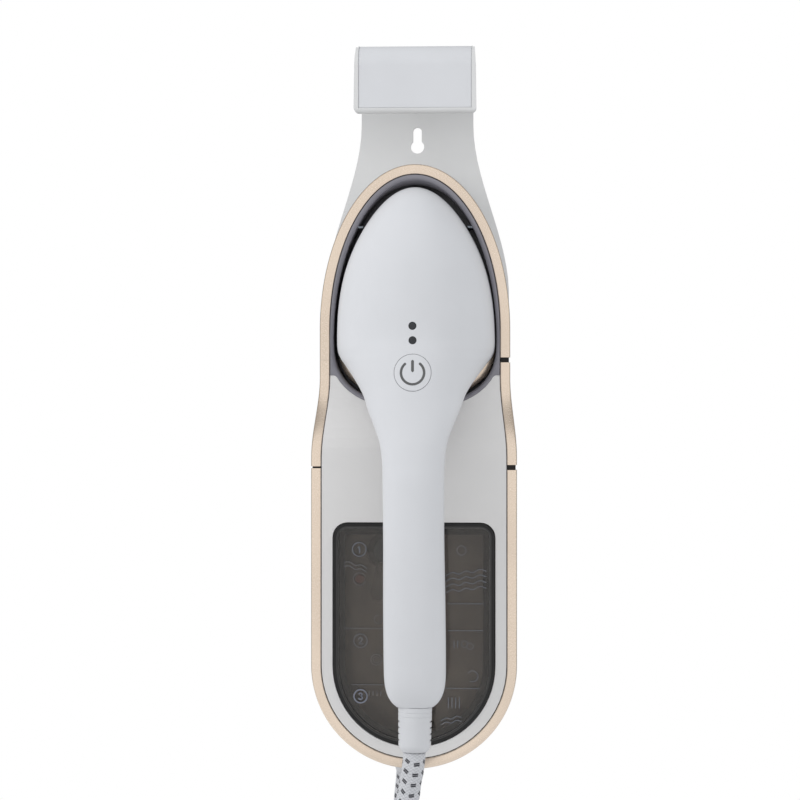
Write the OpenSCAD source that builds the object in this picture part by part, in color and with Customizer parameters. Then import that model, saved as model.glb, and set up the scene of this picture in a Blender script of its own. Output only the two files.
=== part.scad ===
// Wall-hung garment steamer: a flat base with a water tank and a pump, a steam iron that
// stands in the base's dock, and the hose that joins them. Millimetres, +Z up, front at -Y.
// The wall is the plane y = 0 and the origin is the keyhole's centre on that wall.

/* [Base] */
// Width of the base's lower part, which holds the tank
base_w = 129; // [126:0.5:140]
// Width of the base's upper part, which is the dock
dock_w = 120.4; // [118:0.2:124]
// Height of the base, from the arch's top to the rounded foot
base_h = 380; // [372:1:400]
// Height of the arch over the straight sides
arch_h = 104.5; // [100:0.5:108]
// Drop from the keyhole's centre to the arch's top
arch_drop = 15; // [14:0.5:24]
// Depth of the dock part, wall to front
dock_d = 44; // [42:0.5:48]
// Depth of the tank part, wall to front
tank_part_d = 58; // [54:0.5:60]
// Height over which the dock's front swells out to the tank part's front
step_h = 50; // [36:1:60]
// Wall of the base's shells
shell_t = 2.5; // [2:0.1:2.8]
// Depth at which the rear and front shells meet
split_d = 20; // [18:0.5:21]

/* [Trim] */
// Width of the bright band round the base's front
trim_w = 6.2; // [5:0.1:7]
// Depth of the band along the base's side
trim_d = 9; // [7:0.5:11]
// Groove between the band and what it surrounds
trim_groove = 0.4; // [0.2:0.1:0.6]
// Thickness of the plated band pieces
trim_t = 1.2; // [0.8:0.1:1.6]

/* [Hook] */
// Rail radius that the hook hangs on
rail_r = 16; // [12:0.5:18]
// Thickness of the hanger tongue
tongue_t = 4; // [3:0.5:5]
// Half width of the tongue at the hook
tongue_hw = 36.2; // [32:0.2:40]
// Height of the hook's top over the keyhole's centre
hook_top = 61.6; // [56:0.1:66]
// Height of the front flap
flap_h = 43.8; // [38:0.1:46]
// Thickness of the front flap
flap_t = 8; // [7:0.5:10]
// Radius of the keyhole's round hole
key_r = 4.35; // [4:0.05:4.6]
// Width of the keyhole's slot
key_slot_w = 5.6; // [5:0.1:5.8]

/* [Dock] */
// Distance from the dock's side to the recess for the iron's head
cup_side = 8.6; // [8.2:0.1:9.2]
// Distance from the arch's top to the recess
cup_top = 10.1; // [9:0.1:11]
// Depth of the recess under its widest line
cup_down = 40.1; // [39.6:0.1:42]
// Distance from the wall to the recess's floor
cup_floor_d = 15; // [12:0.5:16]
// Wall of the recess
cup_t = 2; // [1.6:0.1:2.2]
// Width of the dark ring round the recess
ring_w = 3; // [2:0.1:4]

/* [Tank] */
// White plate between the swell and the tank window
plate_h = 41.2; // [36:0.2:48]
// White border between the band and the tank window
border_w = 7.2; // [6.5:0.1:9]
// Radius of the window's top corners
window_r = 9; // [6:0.5:12]
// Wall of the tank
tank_t = 1.8; // [1.4:0.1:2.2]
// Width of the dark frame round the tank window
frame_w = 2.9; // [2:0.1:3.4]
// Gap all round between the tank and its bay
tank_gap = 0.5; // [0.4:0.1:0.8]

/* [Iron] */
// Gap between the iron's head and the recess at the sides
head_gap = 1.2; // [1.1:0.1:3]
// Gap between the head's tip and the recess
tip_gap = 3.8; // [3:0.1:6]
// Gap between the head's heel and the recess
heel_gap = 3.1; // [2.7:0.1:5]
// Height of the head's dome over its bright rim
dome_h = 58; // [52:0.5:62]
// Gap between the soleplate and the recess's floor
sole_gap = 5; // [4:0.5:6]
// Thickness of the soleplate, the heat shield and the bright rim, each
plate_t = 4; // [3:0.1:4]
// Wall of the iron's shells
iron_t = 2.2; // [1.8:0.1:2.4]
// Radius of the power button
button_r = 11.35; // [9:0.05:12]
// Turn of the docked iron, which stands a little askew, in degrees
seat_turn = 0.5; // [0:0.05:0.6]
// Radius of an indicator light
led_r = 2.4; // [1.5:0.1:3]
// Length of the trigger under its hinge
trigger_len = 44; // [38:1:46]
// Width of the trigger
trigger_w = 15; // [12:0.5:16]

/* [Hose] */
// Diameter of the hose
hose_d = 14; // [12:0.5:14]
// Length of the flexible boot at the handle's end
boot_len = 27.5; // [22:0.5:28]
// Lean of the boot towards the side to which the hose hangs, in degrees
boot_lean = 1.2; // [0:0.1:1.4]
// Radius of the stored coil, at the middle of the hose
coil_r = 78; // [70:1:84]

/* [Hidden] */
$fn = 64;
eps = 0.01;

// Colours
white = "#e4e5e8";
gold = "#dcc09c";
gunmetal = "#6d6a72";
black = "#232326";
smoke = "#4a4541";
grey = "#9a9ca0";
metal = "#b9bcc0";
green = "#2f6b45";
clear_blue = "#c9d6dc";

// ---- levels of the base, along Z ----
arch_z = -arch_drop - arch_h;          // springing line of the arch
step_top = arch_z - 30.5;              // where the dock's front starts to swell
foot_z = -arch_drop - base_h + base_w / 2;  // centre of the rounded foot
low_z = -arch_drop - base_h;           // lowest line of the base
side_inset = 1;                        // the shells' sides lie this far inside the band
core_inset = trim_w + trim_groove;     // edge of what the band surrounds
core_d = trim_d;                       // depth of the rebate that carries the band
split_fit = 0.25;                      // running gap between moulded parts

// ---- small functions ----
function clamp01(s) = min(1, max(0, s));
function ease(s) = let (t = clamp01(s)) t * t * (3 - 2 * t);
function slope(s) = (s <= 0 || s >= 1) ? 0 : 6 * s * (1 - s);
function sgn_pow(v, p) = sign(v) * pow(abs(v), p);
function mirrored(half) = concat(half, [for (i = [len(half) - 1:-1:0]) [-half[i][0], half[i][1]]]);
function push(p, n, off) = p + n / norm(n) * off;
function circle_pts(c, r, a0, a1, n) = [for (i = [0:n]) let (a = a0 + (a1 - a0) * i / n)
  c + r * [cos(a), sin(a)]];

// A half oval about [0, zc]: superellipse quadrants of power p, pushed out by off
function oval_up(a, b, p, zc, off, n) = [for (i = [0:n]) let (t = 90 - 90 * i / n)
  push([a * sgn_pow(cos(t), 2 / p), zc + b * sgn_pow(sin(t), 2 / p)],
       [max(eps, pow(cos(t), 2 - 2 / p)) / a, max(eps, pow(sin(t), 2 - 2 / p)) / b], off)];
function oval_down(a, b, p, zc, off, n) = [for (i = [1:n]) let (t = 90 * i / n)
  push([a * sgn_pow(cos(t), 2 / p), zc - b * sgn_pow(sin(t), 2 / p)],
       [max(eps, pow(cos(t), 2 - 2 / p)) / a, -max(eps, pow(sin(t), 2 - 2 / p)) / b], off)];

// ---- 2-D outlines of the base, drawn as [x, z] ----
arch_n = 22;
step_n = 8;
foot_n = 16;
function base_half(inset) = concat(
  [for (i = [0:arch_n]) let (t = 90 - 90 * i / arch_n)
    push([dock_w / 2 * cos(t), arch_z + arch_h * sin(t)],
         [cos(t) / dock_w * 2, sin(t) / arch_h], -inset)],
  [for (i = [0:step_n]) let (s = i / step_n, grow = (base_w - dock_w) / 2)
    push([dock_w / 2 + grow * ease(s), step_top - step_h * s],
         [step_h, grow * slope(s)], -inset)],
  circle_pts([0, foot_z], base_w / 2 - inset, 0, -90, foot_n));
module base_outline(inset) { polygon(mirrored(base_half(inset))); }

cup_z = arch_z - 6.7;                  // widest line of the recess
cup_hw = dock_w / 2 - cup_side;
cup_up = -arch_drop - cup_top - cup_z;
head_hw = cup_hw - head_gap;
head_up = cup_up - tip_gap;
head_down = cup_down - heel_gap;
function cup_half(off) = concat(
  oval_up(cup_hw, cup_up, 2, cup_z, off, 22),
  oval_down(cup_hw, cup_down, 2.5, cup_z, off, 14));
module cup_outline(off) { polygon(mirrored(cup_half(off))); }

window_hw = base_w / 2 - core_inset - border_w;
window_low = foot_z - window_hw;
window_top = step_top - step_h - plate_h;
function window_half(off) = concat(
  [[0, window_top + off]],
  circle_pts([window_hw - window_r, window_top - window_r], window_r + off, 90, 0, 6),
  circle_pts([0, foot_z], window_hw + off, 0, -90, foot_n));
module window_outline(off) { polygon(mirrored(window_half(off))); }

// Extrudes a shape drawn as [x, z] from depth d0 to depth d1 in front of the wall
module in_depth(d0, d1) {
  rotate([90, 0, 0]) translate([0, 0, d0]) linear_extrude(d1 - d0) children();
}
// Extrudes a shape drawn as [depth, z] over the width w
module across(w) { rotate([90, 0, -90]) linear_extrude(w, center = true) children(); }

// Depth of the base's front surface at the height z
function front_d(z) = dock_d + (tank_part_d - dock_d) * ease((step_top - z) / step_h);
// Everything between the wall and the base's front surface, less inset
module slab(inset) {
  top = 5;
  across(base_w + 20) polygon(concat(
    [[-1, low_z - 20], [-1, top], [front_d(top) - inset, top]],
    [for (i = [0:step_n]) let (z = step_top - step_h * i / step_n) [front_d(z) - inset, z]],
    [[front_d(low_z) - inset, low_z - 20]]));
}
// A prism of the child outline whose front follows the base's front, between two insets
module skin(inset_front, inset_back) {
  difference() {
    intersection() {
      in_depth(0, tank_part_d + 10) children();
      slab(inset_front);
    }
    slab(inset_back);
  }
}

// ---- screws that hold the base together, from behind ----
screw_r = 1.4;
screw_fit = 0.05;
head_r = 2.7;
head_t = 1.8;
head_seat = 2.6;                       // depth of the screw head's seat in front of the wall
boss_r = 3.4;
post_x = base_w / 2 - side_inset - shell_t - boss_r - 0.7;
bay_out = 0.4 + 2;                     // the bay's outer wall, outside the window's outline
post_spots = [[post_x, foot_z + 68], [post_x, foot_z + 4],
              [-post_x, foot_z + 68], [-post_x, foot_z + 4],
              [post_x - 7, step_top - 14], [7 - post_x, step_top - 14]];
cup_spots = [[0, cup_z + 66], [26, cup_z + 20], [-26, cup_z + 20], [0, cup_z - 22]];

// ---- rear shell, with the tongue and the hook ----
tongue_low = arch_z + 26.5;            // where the tongue's sides run into the base's
function tongue_w(z) = let (s = clamp01((12 - z) / (12 - tongue_low)))
  tongue_hw + (dock_w / 2 - side_inset - tongue_hw) * (0.13 * s + 0.87 * ease(s));
fold_z = hook_top - rail_r - tongue_t - 0.3;   // centre of the hook's bend
hook_d = tongue_t + 2 * rail_r + flap_t;       // depth of the whole hook
flap_low = hook_top - flap_h;
nose_r = 14;
function hook_profile(inset) = concat(
  [[inset, -30], [inset, hook_top - 20]],
  circle_pts([20, hook_top - 20], 20 - inset, 180, 90, 12),
  circle_pts([hook_d - nose_r, hook_top - nose_r], nose_r - inset, 90, 0, 10),
  circle_pts([hook_d - 2.5, flap_low + 2.5], 2.5 - min(inset, 2), 0, -90, 5),
  [[hook_d - flap_t - 0.5, flap_low], [hook_d - flap_t - 0.5, -30]]);
flap_hw = tongue_hw + 2.6;
module flap_face() {
  polygon(mirrored(concat(
    [[0, hook_top + 1], [flap_hw - 1.2, hook_top + 1]],
    [[flap_hw - 0.9, hook_top - 4], [flap_hw - 0.4, hook_top - 12]],
    circle_pts([flap_hw - 3.2, flap_low + 3.2], 3.2, 0, -90, 6))));
}
module hook_hollow() {
  across(2 * flap_hw + 2) {
    translate([tongue_t + rail_r, fold_z]) circle(rail_r);
    translate([tongue_t, -40]) square([2 * rail_r, fold_z + 40]);
  }
}
module hook_body() {
  difference() {
    union() {
      intersection() {
        across(2 * tongue_hw) polygon(hook_profile(0));
        translate([-50, -hook_d + flap_t - 1, flap_low]) cube([100, hook_d, flap_h + 1]);
      }
      intersection() {
        across(2 * flap_hw) polygon(hook_profile(0));
        in_depth(hook_d - flap_t + 0.1, hook_d + 1) flap_face();
      }
    }
    hook_hollow();
  }
}
cover_t = 2;
cover_low = 0.35;                      // the cover lies this far under the flap's rim
rim_w = 3.1;
module cover_band(front, back, grow) {
  difference() {
    across(2 * (flap_hw - rim_w + grow)) difference() {
      polygon(hook_profile(front));
      polygon(hook_profile(back));
    }
    translate([-50, -24 + grow, -60]) cube([100, 40, 200]);
    translate([-50, -60, -60]) cube([100, 80, 60 + flap_low + rim_w - grow]);
  }
}
module keyhole() {
  in_depth(-1, tongue_t + 1) {
    circle(key_r);
    translate([-key_slot_w / 2, 0]) square([key_slot_w, 9.8]);
    translate([0, 9.8]) circle(key_slot_w / 2);
  }
}
hose_x = -6;                           // the hose enters the base here
hose_depth = 11.5;
gland_r = hose_d / 2 + 1.3;
cord_x = 26;                           // the mains cord's bush
cord_r = 3.6;
bush_r = 6;
module rear_shell() {
  color(white) {
    difference() {
      union() {
        difference() {
          in_depth(0, split_d) base_outline(side_inset);
          in_depth(shell_t, split_d + 1) base_outline(side_inset + shell_t);
        }
        in_depth(0, tongue_t) polygon(mirrored(concat(
          [for (i = [0:14]) let (z = 14 + (tongue_low - 14) * i / 14) [tongue_w(z), z]],
          [[dock_w / 2 - side_inset, arch_z]])));
        in_depth(0, tongue_t) translate([-tongue_hw, 12]) square([2 * tongue_hw, flap_low - 10]);
        hook_body();
        for (p = concat(post_spots, cup_spots))
          in_depth(0, 8) translate(p) circle(boss_r + 0.4);
        // bosses that carry the control board
        for (p = board_spots) {
          in_depth(0, board_d) translate(p) circle(2.5);
          in_depth(0, board_d + 3) translate(p) circle(1.4);
        }
      }
      keyhole();
      cover_band(-2, cover_t + cover_low, split_fit);
      for (p = concat(post_spots, cup_spots)) {
        in_depth(-1, 20) translate(p) circle(screw_r + 0.2);
        in_depth(-1, head_seat) translate(p) circle(head_r + 0.3);
      }
      translate([hose_x, -hose_depth, low_z - 2]) cylinder(r = gland_r + split_fit, h = 20);
      translate([cord_x, -hose_depth, low_z - 2]) cylinder(r = bush_r + split_fit, h = 30);
    }
  }
}
module hook_cover() { color(white) cover_band(cover_low, cover_t + cover_low, 0); }

// ---- front shell ----
wing_z = step_top + 1.6;               // lower edge of the dark bezel's wings
module bezel_face(off) {
  difference() {
    intersection() {
      base_outline(core_inset - off);
      union() {
        translate([-base_w, wing_z - off]) square([2 * base_w, arch_h * 2]);
        cup_outline(ring_w + off);
      }
    }
    children();
  }
}
module front_shell() {
  color(white) difference() {
    union() {
      skin(core_d, 200) base_outline(side_inset);
      skin(0, core_d + 5) base_outline(core_inset);
    }
    in_depth(-1, split_d) square([400, 1200], center = true);
    // cavity, kept clear of the screw posts
    difference() {
      union() {
        skin(core_d + shell_t, 200) base_outline(side_inset + shell_t);
        skin(shell_t, 200) base_outline(core_inset + shell_t);
      }
      for (p = post_spots) in_depth(8, tank_part_d) translate(p) circle(boss_r);
    }
    // openings for the bezel, the cup and the tank
    in_depth(dock_d - bezel_t - 2.2, tank_part_d + 5) bezel_face(0.15);
    in_depth(0, tank_part_d + 5) cup_outline(cup_t + 0.3);
    in_depth(0, tank_part_d + 5) window_outline(0.4);
    for (p = post_spots) in_depth(0, 24) translate(p) circle(screw_r + screw_fit);
  }
}

// ---- bright band: a dark carrier with four plated pieces over it ----
carrier_in = 0.8;
module band(from, to, front, back) {
  skin(front, back) difference() {
    base_outline(from);
    base_outline(to);
  }
}
module trim_carrier() {
  color(black) band(carrier_in, trim_w, trim_t / 2, trim_d);
}
module trim_whole() {
  band(0, trim_w, -trim_t / 2, trim_t / 2);
  band(0, carrier_in, trim_t / 2 - eps, trim_d);
}
joint_hi = arch_z - 19.3;              // where the arch's piece ends
joint_lo = step_top - step_h - 6.3;    // where the lower piece starts
hair_joint = 0.05;                     // half the gap of the upper joint on the left
fine_joint = 0.6;                      // half the gap of the lower joint on the left
wide_joint = 1.6;                      // half the gap of a joint on the right
module trim_piece(side, z0, z1) {
  color(gold) intersection() {
    trim_whole();
    translate([side < 0 ? -200 : 0, -100, z0]) cube([side == 0 ? 400 : 200, 101, z1 - z0]);
  }
}
module trim_arch() {
  color(gold) intersection() {
    trim_whole();
    union() {
      translate([-200, -100, joint_hi + hair_joint]) cube([200 + eps, 101, 200]);
      translate([0, -100, joint_hi + wide_joint]) cube([200, 101, 200]);
    }
  }
}
module trim_left() { trim_piece(-1, joint_lo + fine_joint, joint_hi - hair_joint); }
module trim_right() { trim_piece(1, joint_lo + wide_joint, joint_hi - wide_joint); }
module trim_lower() {
  color(gold) intersection() {
    trim_whole();
    union() {
      translate([-200, -100, joint_lo - fine_joint - 400]) cube([200 + eps, 101, 400]);
      translate([0, -100, joint_lo - wide_joint - 400]) cube([200, 101, 400]);
    }
  }
}

// ---- dock ----
bezel_t = shell_t + 0.3;
module dock_bezel() {
  color(gunmetal) skin(-0.3, bezel_t) bezel_face(0) cup_outline(0);
}
module dock_cup() {
  color(black) difference() {
    union() {
      skin(bezel_t, 200) cup_outline(cup_t);
      skin(bezel_t, bezel_t + 1.6) bezel_face(-0.3);
      for (p = cup_spots) in_depth(8, cup_floor_d) translate(p) circle(boss_r);
    }
    in_depth(-1, cup_floor_d - cup_t) difference() {
      square([400, 1200], center = true);
      for (p = cup_spots) translate(p) circle(boss_r);
    }
    in_depth(-1, 8) square([400, 1200], center = true);
    in_depth(cup_floor_d, tank_part_d) cup_outline(0);
    for (p = cup_spots) in_depth(0, cup_floor_d - 1) translate(p) circle(screw_r + screw_fit);
  }
}
sole_d = cup_floor_d + sole_gap;       // depth of the soleplate's face
seat_gap = 0.3;                        // what a seated part leaves to its seat
heel_z = cup_z - head_down;            // lowest line of the head
pad_x = cup_hw * 0.66;
pad_spots = [[0, cup_z + 78], [pad_x, cup_z], [-pad_x, cup_z]];
tick_z = cup_z + 71.8;
module dock_pads() {
  color(clear_blue) {
    for (p = pad_spots) in_depth(cup_floor_d, sole_d - seat_gap) translate(p) circle(5);
    // heel rest, between the head's lower edge and the recess's lower wall
    intersection() {
      in_depth(cup_floor_d, rim_d) difference() {
        cup_outline(0);
        askew_2d() head_outline(seat_gap);
      }
      translate([-16, -60, heel_z - 20]) cube([32, 60, 22]);
    }
    // two small stops across the gap at the head's shoulders
    for (side = [-1, 1]) intersection() {
      in_depth(cup_floor_d, dock_d - 5) difference() {
        cup_outline(0);
        askew_2d() head_outline(1);
      }
      translate([side * pad_x - 6, -60, tick_z - 0.5]) cube([12, 60, 1]);
    }
  }
}

// ---- tank bay and what lies behind it ----
bay_floor_d = 22;
bay_t = 2;
valve_z = window_low + 19;
module tank_bay() {
  color(white) difference() {
    in_depth(bay_floor_d - bay_t, tank_part_d - shell_t) window_outline(bay_out);
    in_depth(bay_floor_d, tank_part_d) window_outline(0.4);
    in_depth(0, bay_floor_d + 1) translate([0, valve_z]) circle(probe_r + screw_fit);
  }
}
probe_r = 2.6;
module valve_probe() {
  color(grey) difference() {
    union() {
      in_depth(13, 25.9) translate([0, valve_z]) circle(probe_r);
      in_depth(18, bay_floor_d - bay_t) translate([0, valve_z]) circle(5);
    }
    in_depth(10, 30) translate([0, valve_z]) circle(1.2);
  }
}
module inlet_seal() {
  color(black) in_depth(bay_floor_d, bay_floor_d + 0.9) translate([0, valve_z]) difference() {
    circle(4.6);
    circle(probe_r + screw_fit);
  }
}
pump_c = [-30, -17, step_top - 55];
pump_r = 13;
pump_len = 44;
nozzle_r = 2;
module pump() {
  color(metal) translate(pump_c) {
    cylinder(r = pump_r, h = pump_len, center = true);
    cylinder(r = nozzle_r, h = pump_len + 12, center = true);
  }
}
module pump_cradle() {
  color(black) for (dz = [-13, 13]) translate(pump_c + [0, 0, dz]) difference() {
    union() {
      cylinder(r = pump_r + 1.4, h = 6, center = true);
      translate([-9, 0, -3]) cube([18, -pump_c[1] - shell_t, 6]);
    }
    cylinder(r = pump_r + 0.1, h = 8, center = true);
  }
}
board_d = 8;
board_c = [30, step_top - 55];
board_size = [44, 52];
board_spots = [for (x = [-18, 18], z = [-22, 22]) board_c + [x, z]];
module control_board() {
  color(green) in_depth(board_d, board_d + 1.6) difference() {
    translate(board_c - board_size / 2) square(board_size);
    for (p = board_spots) translate(p) circle(1.5);
  }
}
module board_parts() {
  face = board_d + 1.6;
  color(black) {
    in_depth(face, face + 16) translate(board_c + [-14, 2]) square([14, 15]);
    in_depth(face, face + 14) translate(board_c + [9, 8]) circle(6);
    in_depth(face, face + 9) translate(board_c + [-15, -18]) square([26, 9]);
    in_depth(face, face + 5) translate(board_c + [2, -4]) square([13, 6]);
  }
}

// ---- a round tube swept along a list of points, closed at both ends ----
function cross3(a, b) = [a[1] * b[2] - a[2] * b[1], a[2] * b[0] - a[0] * b[2],
                         a[0] * b[1] - a[1] * b[0]];
function unit(v) = v / norm(v);
function heading(p, i) = unit(p[min(i + 1, len(p) - 1)] - p[max(i - 1, 0)]);
function tube_rings(p, r, sides, up) = [for (i = [0:len(p) - 1])
  let (t = heading(p, i), u = unit(cross3(t, up)), v = cross3(u, t))
  for (k = [0:sides - 1]) let (a = 360 * k / sides) p[i] + r * (u * cos(a) + v * sin(a))];
module tube(p, r, sides = 10, up = [0, 1, 0]) {
  n = len(p);
  polyhedron(tube_rings(p, r, sides, up), concat(
    [for (i = [0:n - 2], k = [0:sides - 1]) let (a = i * sides + k, b = i * sides + (k + 1) % sides)
      [a, b, b + sides, a + sides]],
    [[for (k = [sides - 1:-1:0]) k], [for (k = [0:sides - 1]) (n - 1) * sides + k]]));
}
// Points of a smooth curve through the route's points, n to each span
function curve_at(p0, p1, p2, p3, t) = 0.5 * (2 * p1 + (p2 - p0) * t
  + (2 * p0 - 5 * p1 + 4 * p2 - p3) * t * t + (3 * p1 - p0 - 3 * p2 + p3) * t * t * t);
function smooth(p, n) = concat(
  [for (i = [0:len(p) - 2], k = [0:n - 1])
    curve_at(i == 0 ? 2 * p[0] - p[1] : p[i - 1], p[i], p[i + 1],
             i == len(p) - 2 ? 2 * p[i + 1] - p[i] : p[i + 2], k / n)],
  [p[len(p) - 1]]);

water_r = 2.5;
pump_low = pump_c - [0, 0, pump_len / 2 + 6.1];
pump_high = pump_c + [0, 0, pump_len / 2 + 6.1];
module suction_tube() {
  color(clear_blue) tube(smooth([
    [0, -12.9, valve_z], [0, -11, valve_z + 0.3], [0.3, -9.3, valve_z + 2.8],
    [0.6, -8.8, valve_z + 8], [0, -9, valve_z + 60], [-16, -9, window_top - 24],
    [-27, -10, window_top - 8], [-30, -13, window_top + 1], pump_low - [0, 0.2, 4], pump_low], 3),
    water_r, 8, [1, 0, 0]);
}
module delivery_tube() {
  color(clear_blue) tube(smooth([
    pump_high, pump_high + [-0.3, 0, 2], pump_high + [-4, 1, 5.4], pump_high + [-11, 3, 4.6],
    [-46, -11, step_top - 36], [-48, -9, step_top - 52], [-48, -9, step_top - 95],
    [-47, -9, low_z + 94], [-42, -9, low_z + 60], [-29, -9, low_z + 35], [-14, -10, low_z + 22.5],
    [-7.5, -11.2, low_z + 18.5], [hose_x, -hose_depth, low_z + 14]], 3), water_r, 8, [1, 0, 0]);
}
gland_len = 14;
module hose_gland() {
  color(black) translate([hose_x, -hose_depth, low_z + 2]) difference() {
    union() {
      translate([0, 0, -6]) cylinder(r = gland_r, h = gland_len + 6);
      // flange on the inside of the shell's wall
      intersection() {
        translate([0, 0, 5]) cylinder(r = gland_r + 2, h = 3);
        translate([-20, hose_depth - 19.6, 0]) cube([40, 16.8, 20]);
      }
      intersection() {
        translate([0, 0, -10]) cylinder(r1 = gland_r - 1, r2 = gland_r + 1, h = 7.5);
        translate([-20, -20, -20]) cube([40, 40, 20]);
      }
    }
    translate([0, 0, -20]) cylinder(r = hose_d / 2 + 0.15, h = 30);
    cylinder(r = water_r + 0.3, h = 40);
  }
}
module cord_bush() {
  bottom = foot_z - sqrt(pow(base_w / 2, 2) - pow(cord_x + bush_r, 2)) - 4;
  color(black) translate([cord_x, -hose_depth, bottom]) difference() {
    union() {
      cylinder(r = bush_r, h = 20);
      translate([0, 0, 10.5]) cylinder(r = bush_r + 1.5, h = 3);
    }
    translate([0, 0, -1]) cylinder(r = cord_r, h = 22);
  }
}
module shell_screw(len) {
  in_depth(head_seat - head_t, head_seat) circle(head_r);
  in_depth(head_seat - eps, head_seat + len) circle(screw_r);
}
module shell_screws() {
  color(metal) {
    for (p = post_spots) translate([p[0], 0, p[1]]) shell_screw(16);
    for (p = cup_spots) translate([p[0], 0, p[1]]) shell_screw(10);
  }
}

// ---- tank: slides out towards the front ----
tank_back = bay_floor_d + 1;
tank_rim = tank_part_d - 6.6;          // front edge of the tank's tub
cap_c = [-18.5, window_top - 19];
cap_r = 12.3;
tab_end = [-24, window_top - 46];
module pill(a, b, r) {
  n = (b - a) / norm(b - a);
  s = [-n[1], n[0]] * r;
  polygon([a + s, b + s, b - s, a - s]);
  translate(a) circle(r);
  translate(b) circle(r);
}
well_d = tank_back + 5.2;              // floor of the well that the cap lies in
module tank_shell() {
  color(smoke) difference() {
    union() {
      difference() {
        in_depth(tank_back, tank_rim) window_outline(-tank_gap + 0.4);
        in_depth(tank_back + tank_t, tank_rim + 1) window_outline(-tank_gap + 0.4 - tank_t);
      }
      in_depth(tank_back, well_d + tank_t) {
        translate(cap_c) circle(cap_r + 0.7 + tank_t);
        pill(cap_c, tab_end, 5.7 + tank_t);
      }
      in_depth(tank_back, tank_back + 4) translate([0, valve_z]) circle(8);
    }
    in_depth(0, well_d) {
      translate(cap_c) circle(cap_r + 0.7);
      pill(cap_c, tab_end, 5.7);
    }
    in_depth(0, well_d + 5) translate(cap_c) circle(8);
    in_depth(0, 40) translate([0, valve_z]) circle(6);
  }
}
module tank_cap() {
  color(grey) {
    in_depth(well_d - 4, well_d) translate(cap_c) circle(cap_r);
    in_depth(well_d - 4, well_d + 5) translate(cap_c) circle(7.9);
    in_depth(well_d - 4, well_d - 2) pill(cap_c, tab_end, 5);
  }
}
module tank_seal() {
  color(black) in_depth(tank_rim, tank_rim + 1) difference() {
    window_outline(-0.6);
    window_outline(-2.4);
  }
}
lens_face = 1.2;                       // the lens lies this far under the frame's front
frame_front = tank_part_d + 0.6;
module tank_lens() {
  color(smoke) {
    in_depth(tank_rim + 1, tank_rim + 3) window_outline(-0.4);
    in_depth(tank_rim + 3 - eps, frame_front - lens_face) window_outline(-frame_w - 0.1);
  }
}
module tank_frame() {
  color(black) in_depth(tank_rim + 3, frame_front) difference() {
    window_outline(0);
    window_outline(-frame_w);
  }
}
module tank_clips() {
  wall_x = window_hw - tank_gap + 0.4 - tank_t;
  color(black) for (side = [-1, 1])
    in_depth(tank_back + 8, tank_rim - 4) translate([side * (wall_x - 1.3), foot_z + 30.5])
      square([2.5, 23], center = true);
}
valve_r = 5.9;
seat_d = tank_back + 1.4;              // the valve's seat
poppet_rest = 26;
module tank_valve() {
  color(grey) translate([0, 0, valve_z]) difference() {
    union() {
      in_depth(tank_back + 0.2, 36) circle(valve_r);
      in_depth(tank_back + 4, tank_back + 6) circle(8);
    }
    in_depth(0, 30) circle(probe_r + 0.2);
    in_depth(seat_d, 34) circle(3.8);
    in_depth(30, 40) circle(1.4);
  }
}
module valve_poppet() {
  color(black) translate([0, 0, valve_z]) {
    in_depth(poppet_rest, poppet_rest + 2) circle(3.6);
    in_depth(poppet_rest + 2 - eps, 37.5) circle(1.25);
  }
}
spring_turns = 4;
spring_n = 12;
module valve_spring() {
  first = poppet_rest + 2.6;
  last = 33.4;
  color(metal) tube([for (i = [0:spring_turns * spring_n]) let (a = 360 * i / spring_n)
    [2.5 * cos(a), -first - (last - first) * i / spring_turns / spring_n, valve_z + 2.5 * sin(a)]],
    0.3, 8, [0, 1, 0]);
}

// ---- iron: outline of the head, and stations down the body ----
// The upper half is an oval with fuller shoulders: what its width at the angle t is multiplied by
function shoulder(t) = 1 + 0.045 * pow(sin(2 * t), 2) * cos(2 * t);
function head_half(off) = concat(
  [for (i = [0:22]) let (t = 90 - 90 * i / 22)
    [(head_hw + off) * pow(abs(cos(t)), 2 / 1.88) * shoulder(t),
     cup_z + (head_up + off) * pow(sin(t), 2 / 1.88)]],
  oval_down(head_hw + off, head_down + off, 2.5, cup_z, 0, 14));
module head_outline(off) { polygon(mirrored(head_half(off))); }
// The iron stands askew in the dock, turned about a line near the middle of its head
turn_z = cup_z + 66;
module askew() {
  translate([0, 0, turn_z]) rotate([0, -seat_turn, 0]) translate([0, 0, -turn_z]) children();
}
module askew_2d() {
  translate([0, turn_z]) rotate(seat_turn) translate([0, -turn_z]) children();
}

rim_d = sole_d + 3 * plate_t;          // the shells stand on the bright rim here
dome_d = rim_d + dome_h;                 // front of the head at its widest line
grip_d = rim_d + 66;                   // middle of the handle
grip_front = rim_d + 83;
grip_back = rim_d + 50;
handle_end = cup_z - 224.8;
// Each row: [drop under the widest line, half width, back, split and front over the rim]
stations = [
  [0, head_hw, 0, 0, dome_h], [8, head_hw * 0.956, 0, 0, dome_h + 2],
  [16, head_hw * 0.847, 0.5, 11, dome_h + 3.5], [24, head_hw * 0.751, 4, 23, dome_h + 5],
  [34, head_hw * 0.639, 13, 36, dome_h + 7], [44, head_hw * 0.566, 24, 46, dome_h + 9.5],
  [54, 24.4, 34, 53, dome_h + 12.5], [64, 20.9, 42, 58, 73.5], [76, 19.2, 47.5, 62, 76.5],
  [90, 18.8, 50, 65, 79.5], [124, 18.65, 50, 66, 82.5], [164, 19, 50, 66, 83],
  [198, 19, 50, 66, 82], [209.8, 18.6, 50.5, 66, 81], [216.8, 17.2, 52, 66, 79.5],
  [221.8, 14.6, 54.5, 66, 77.5], [224.8, 11.5, 56, 66, 76]
];
dome_n = 10;
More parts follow.
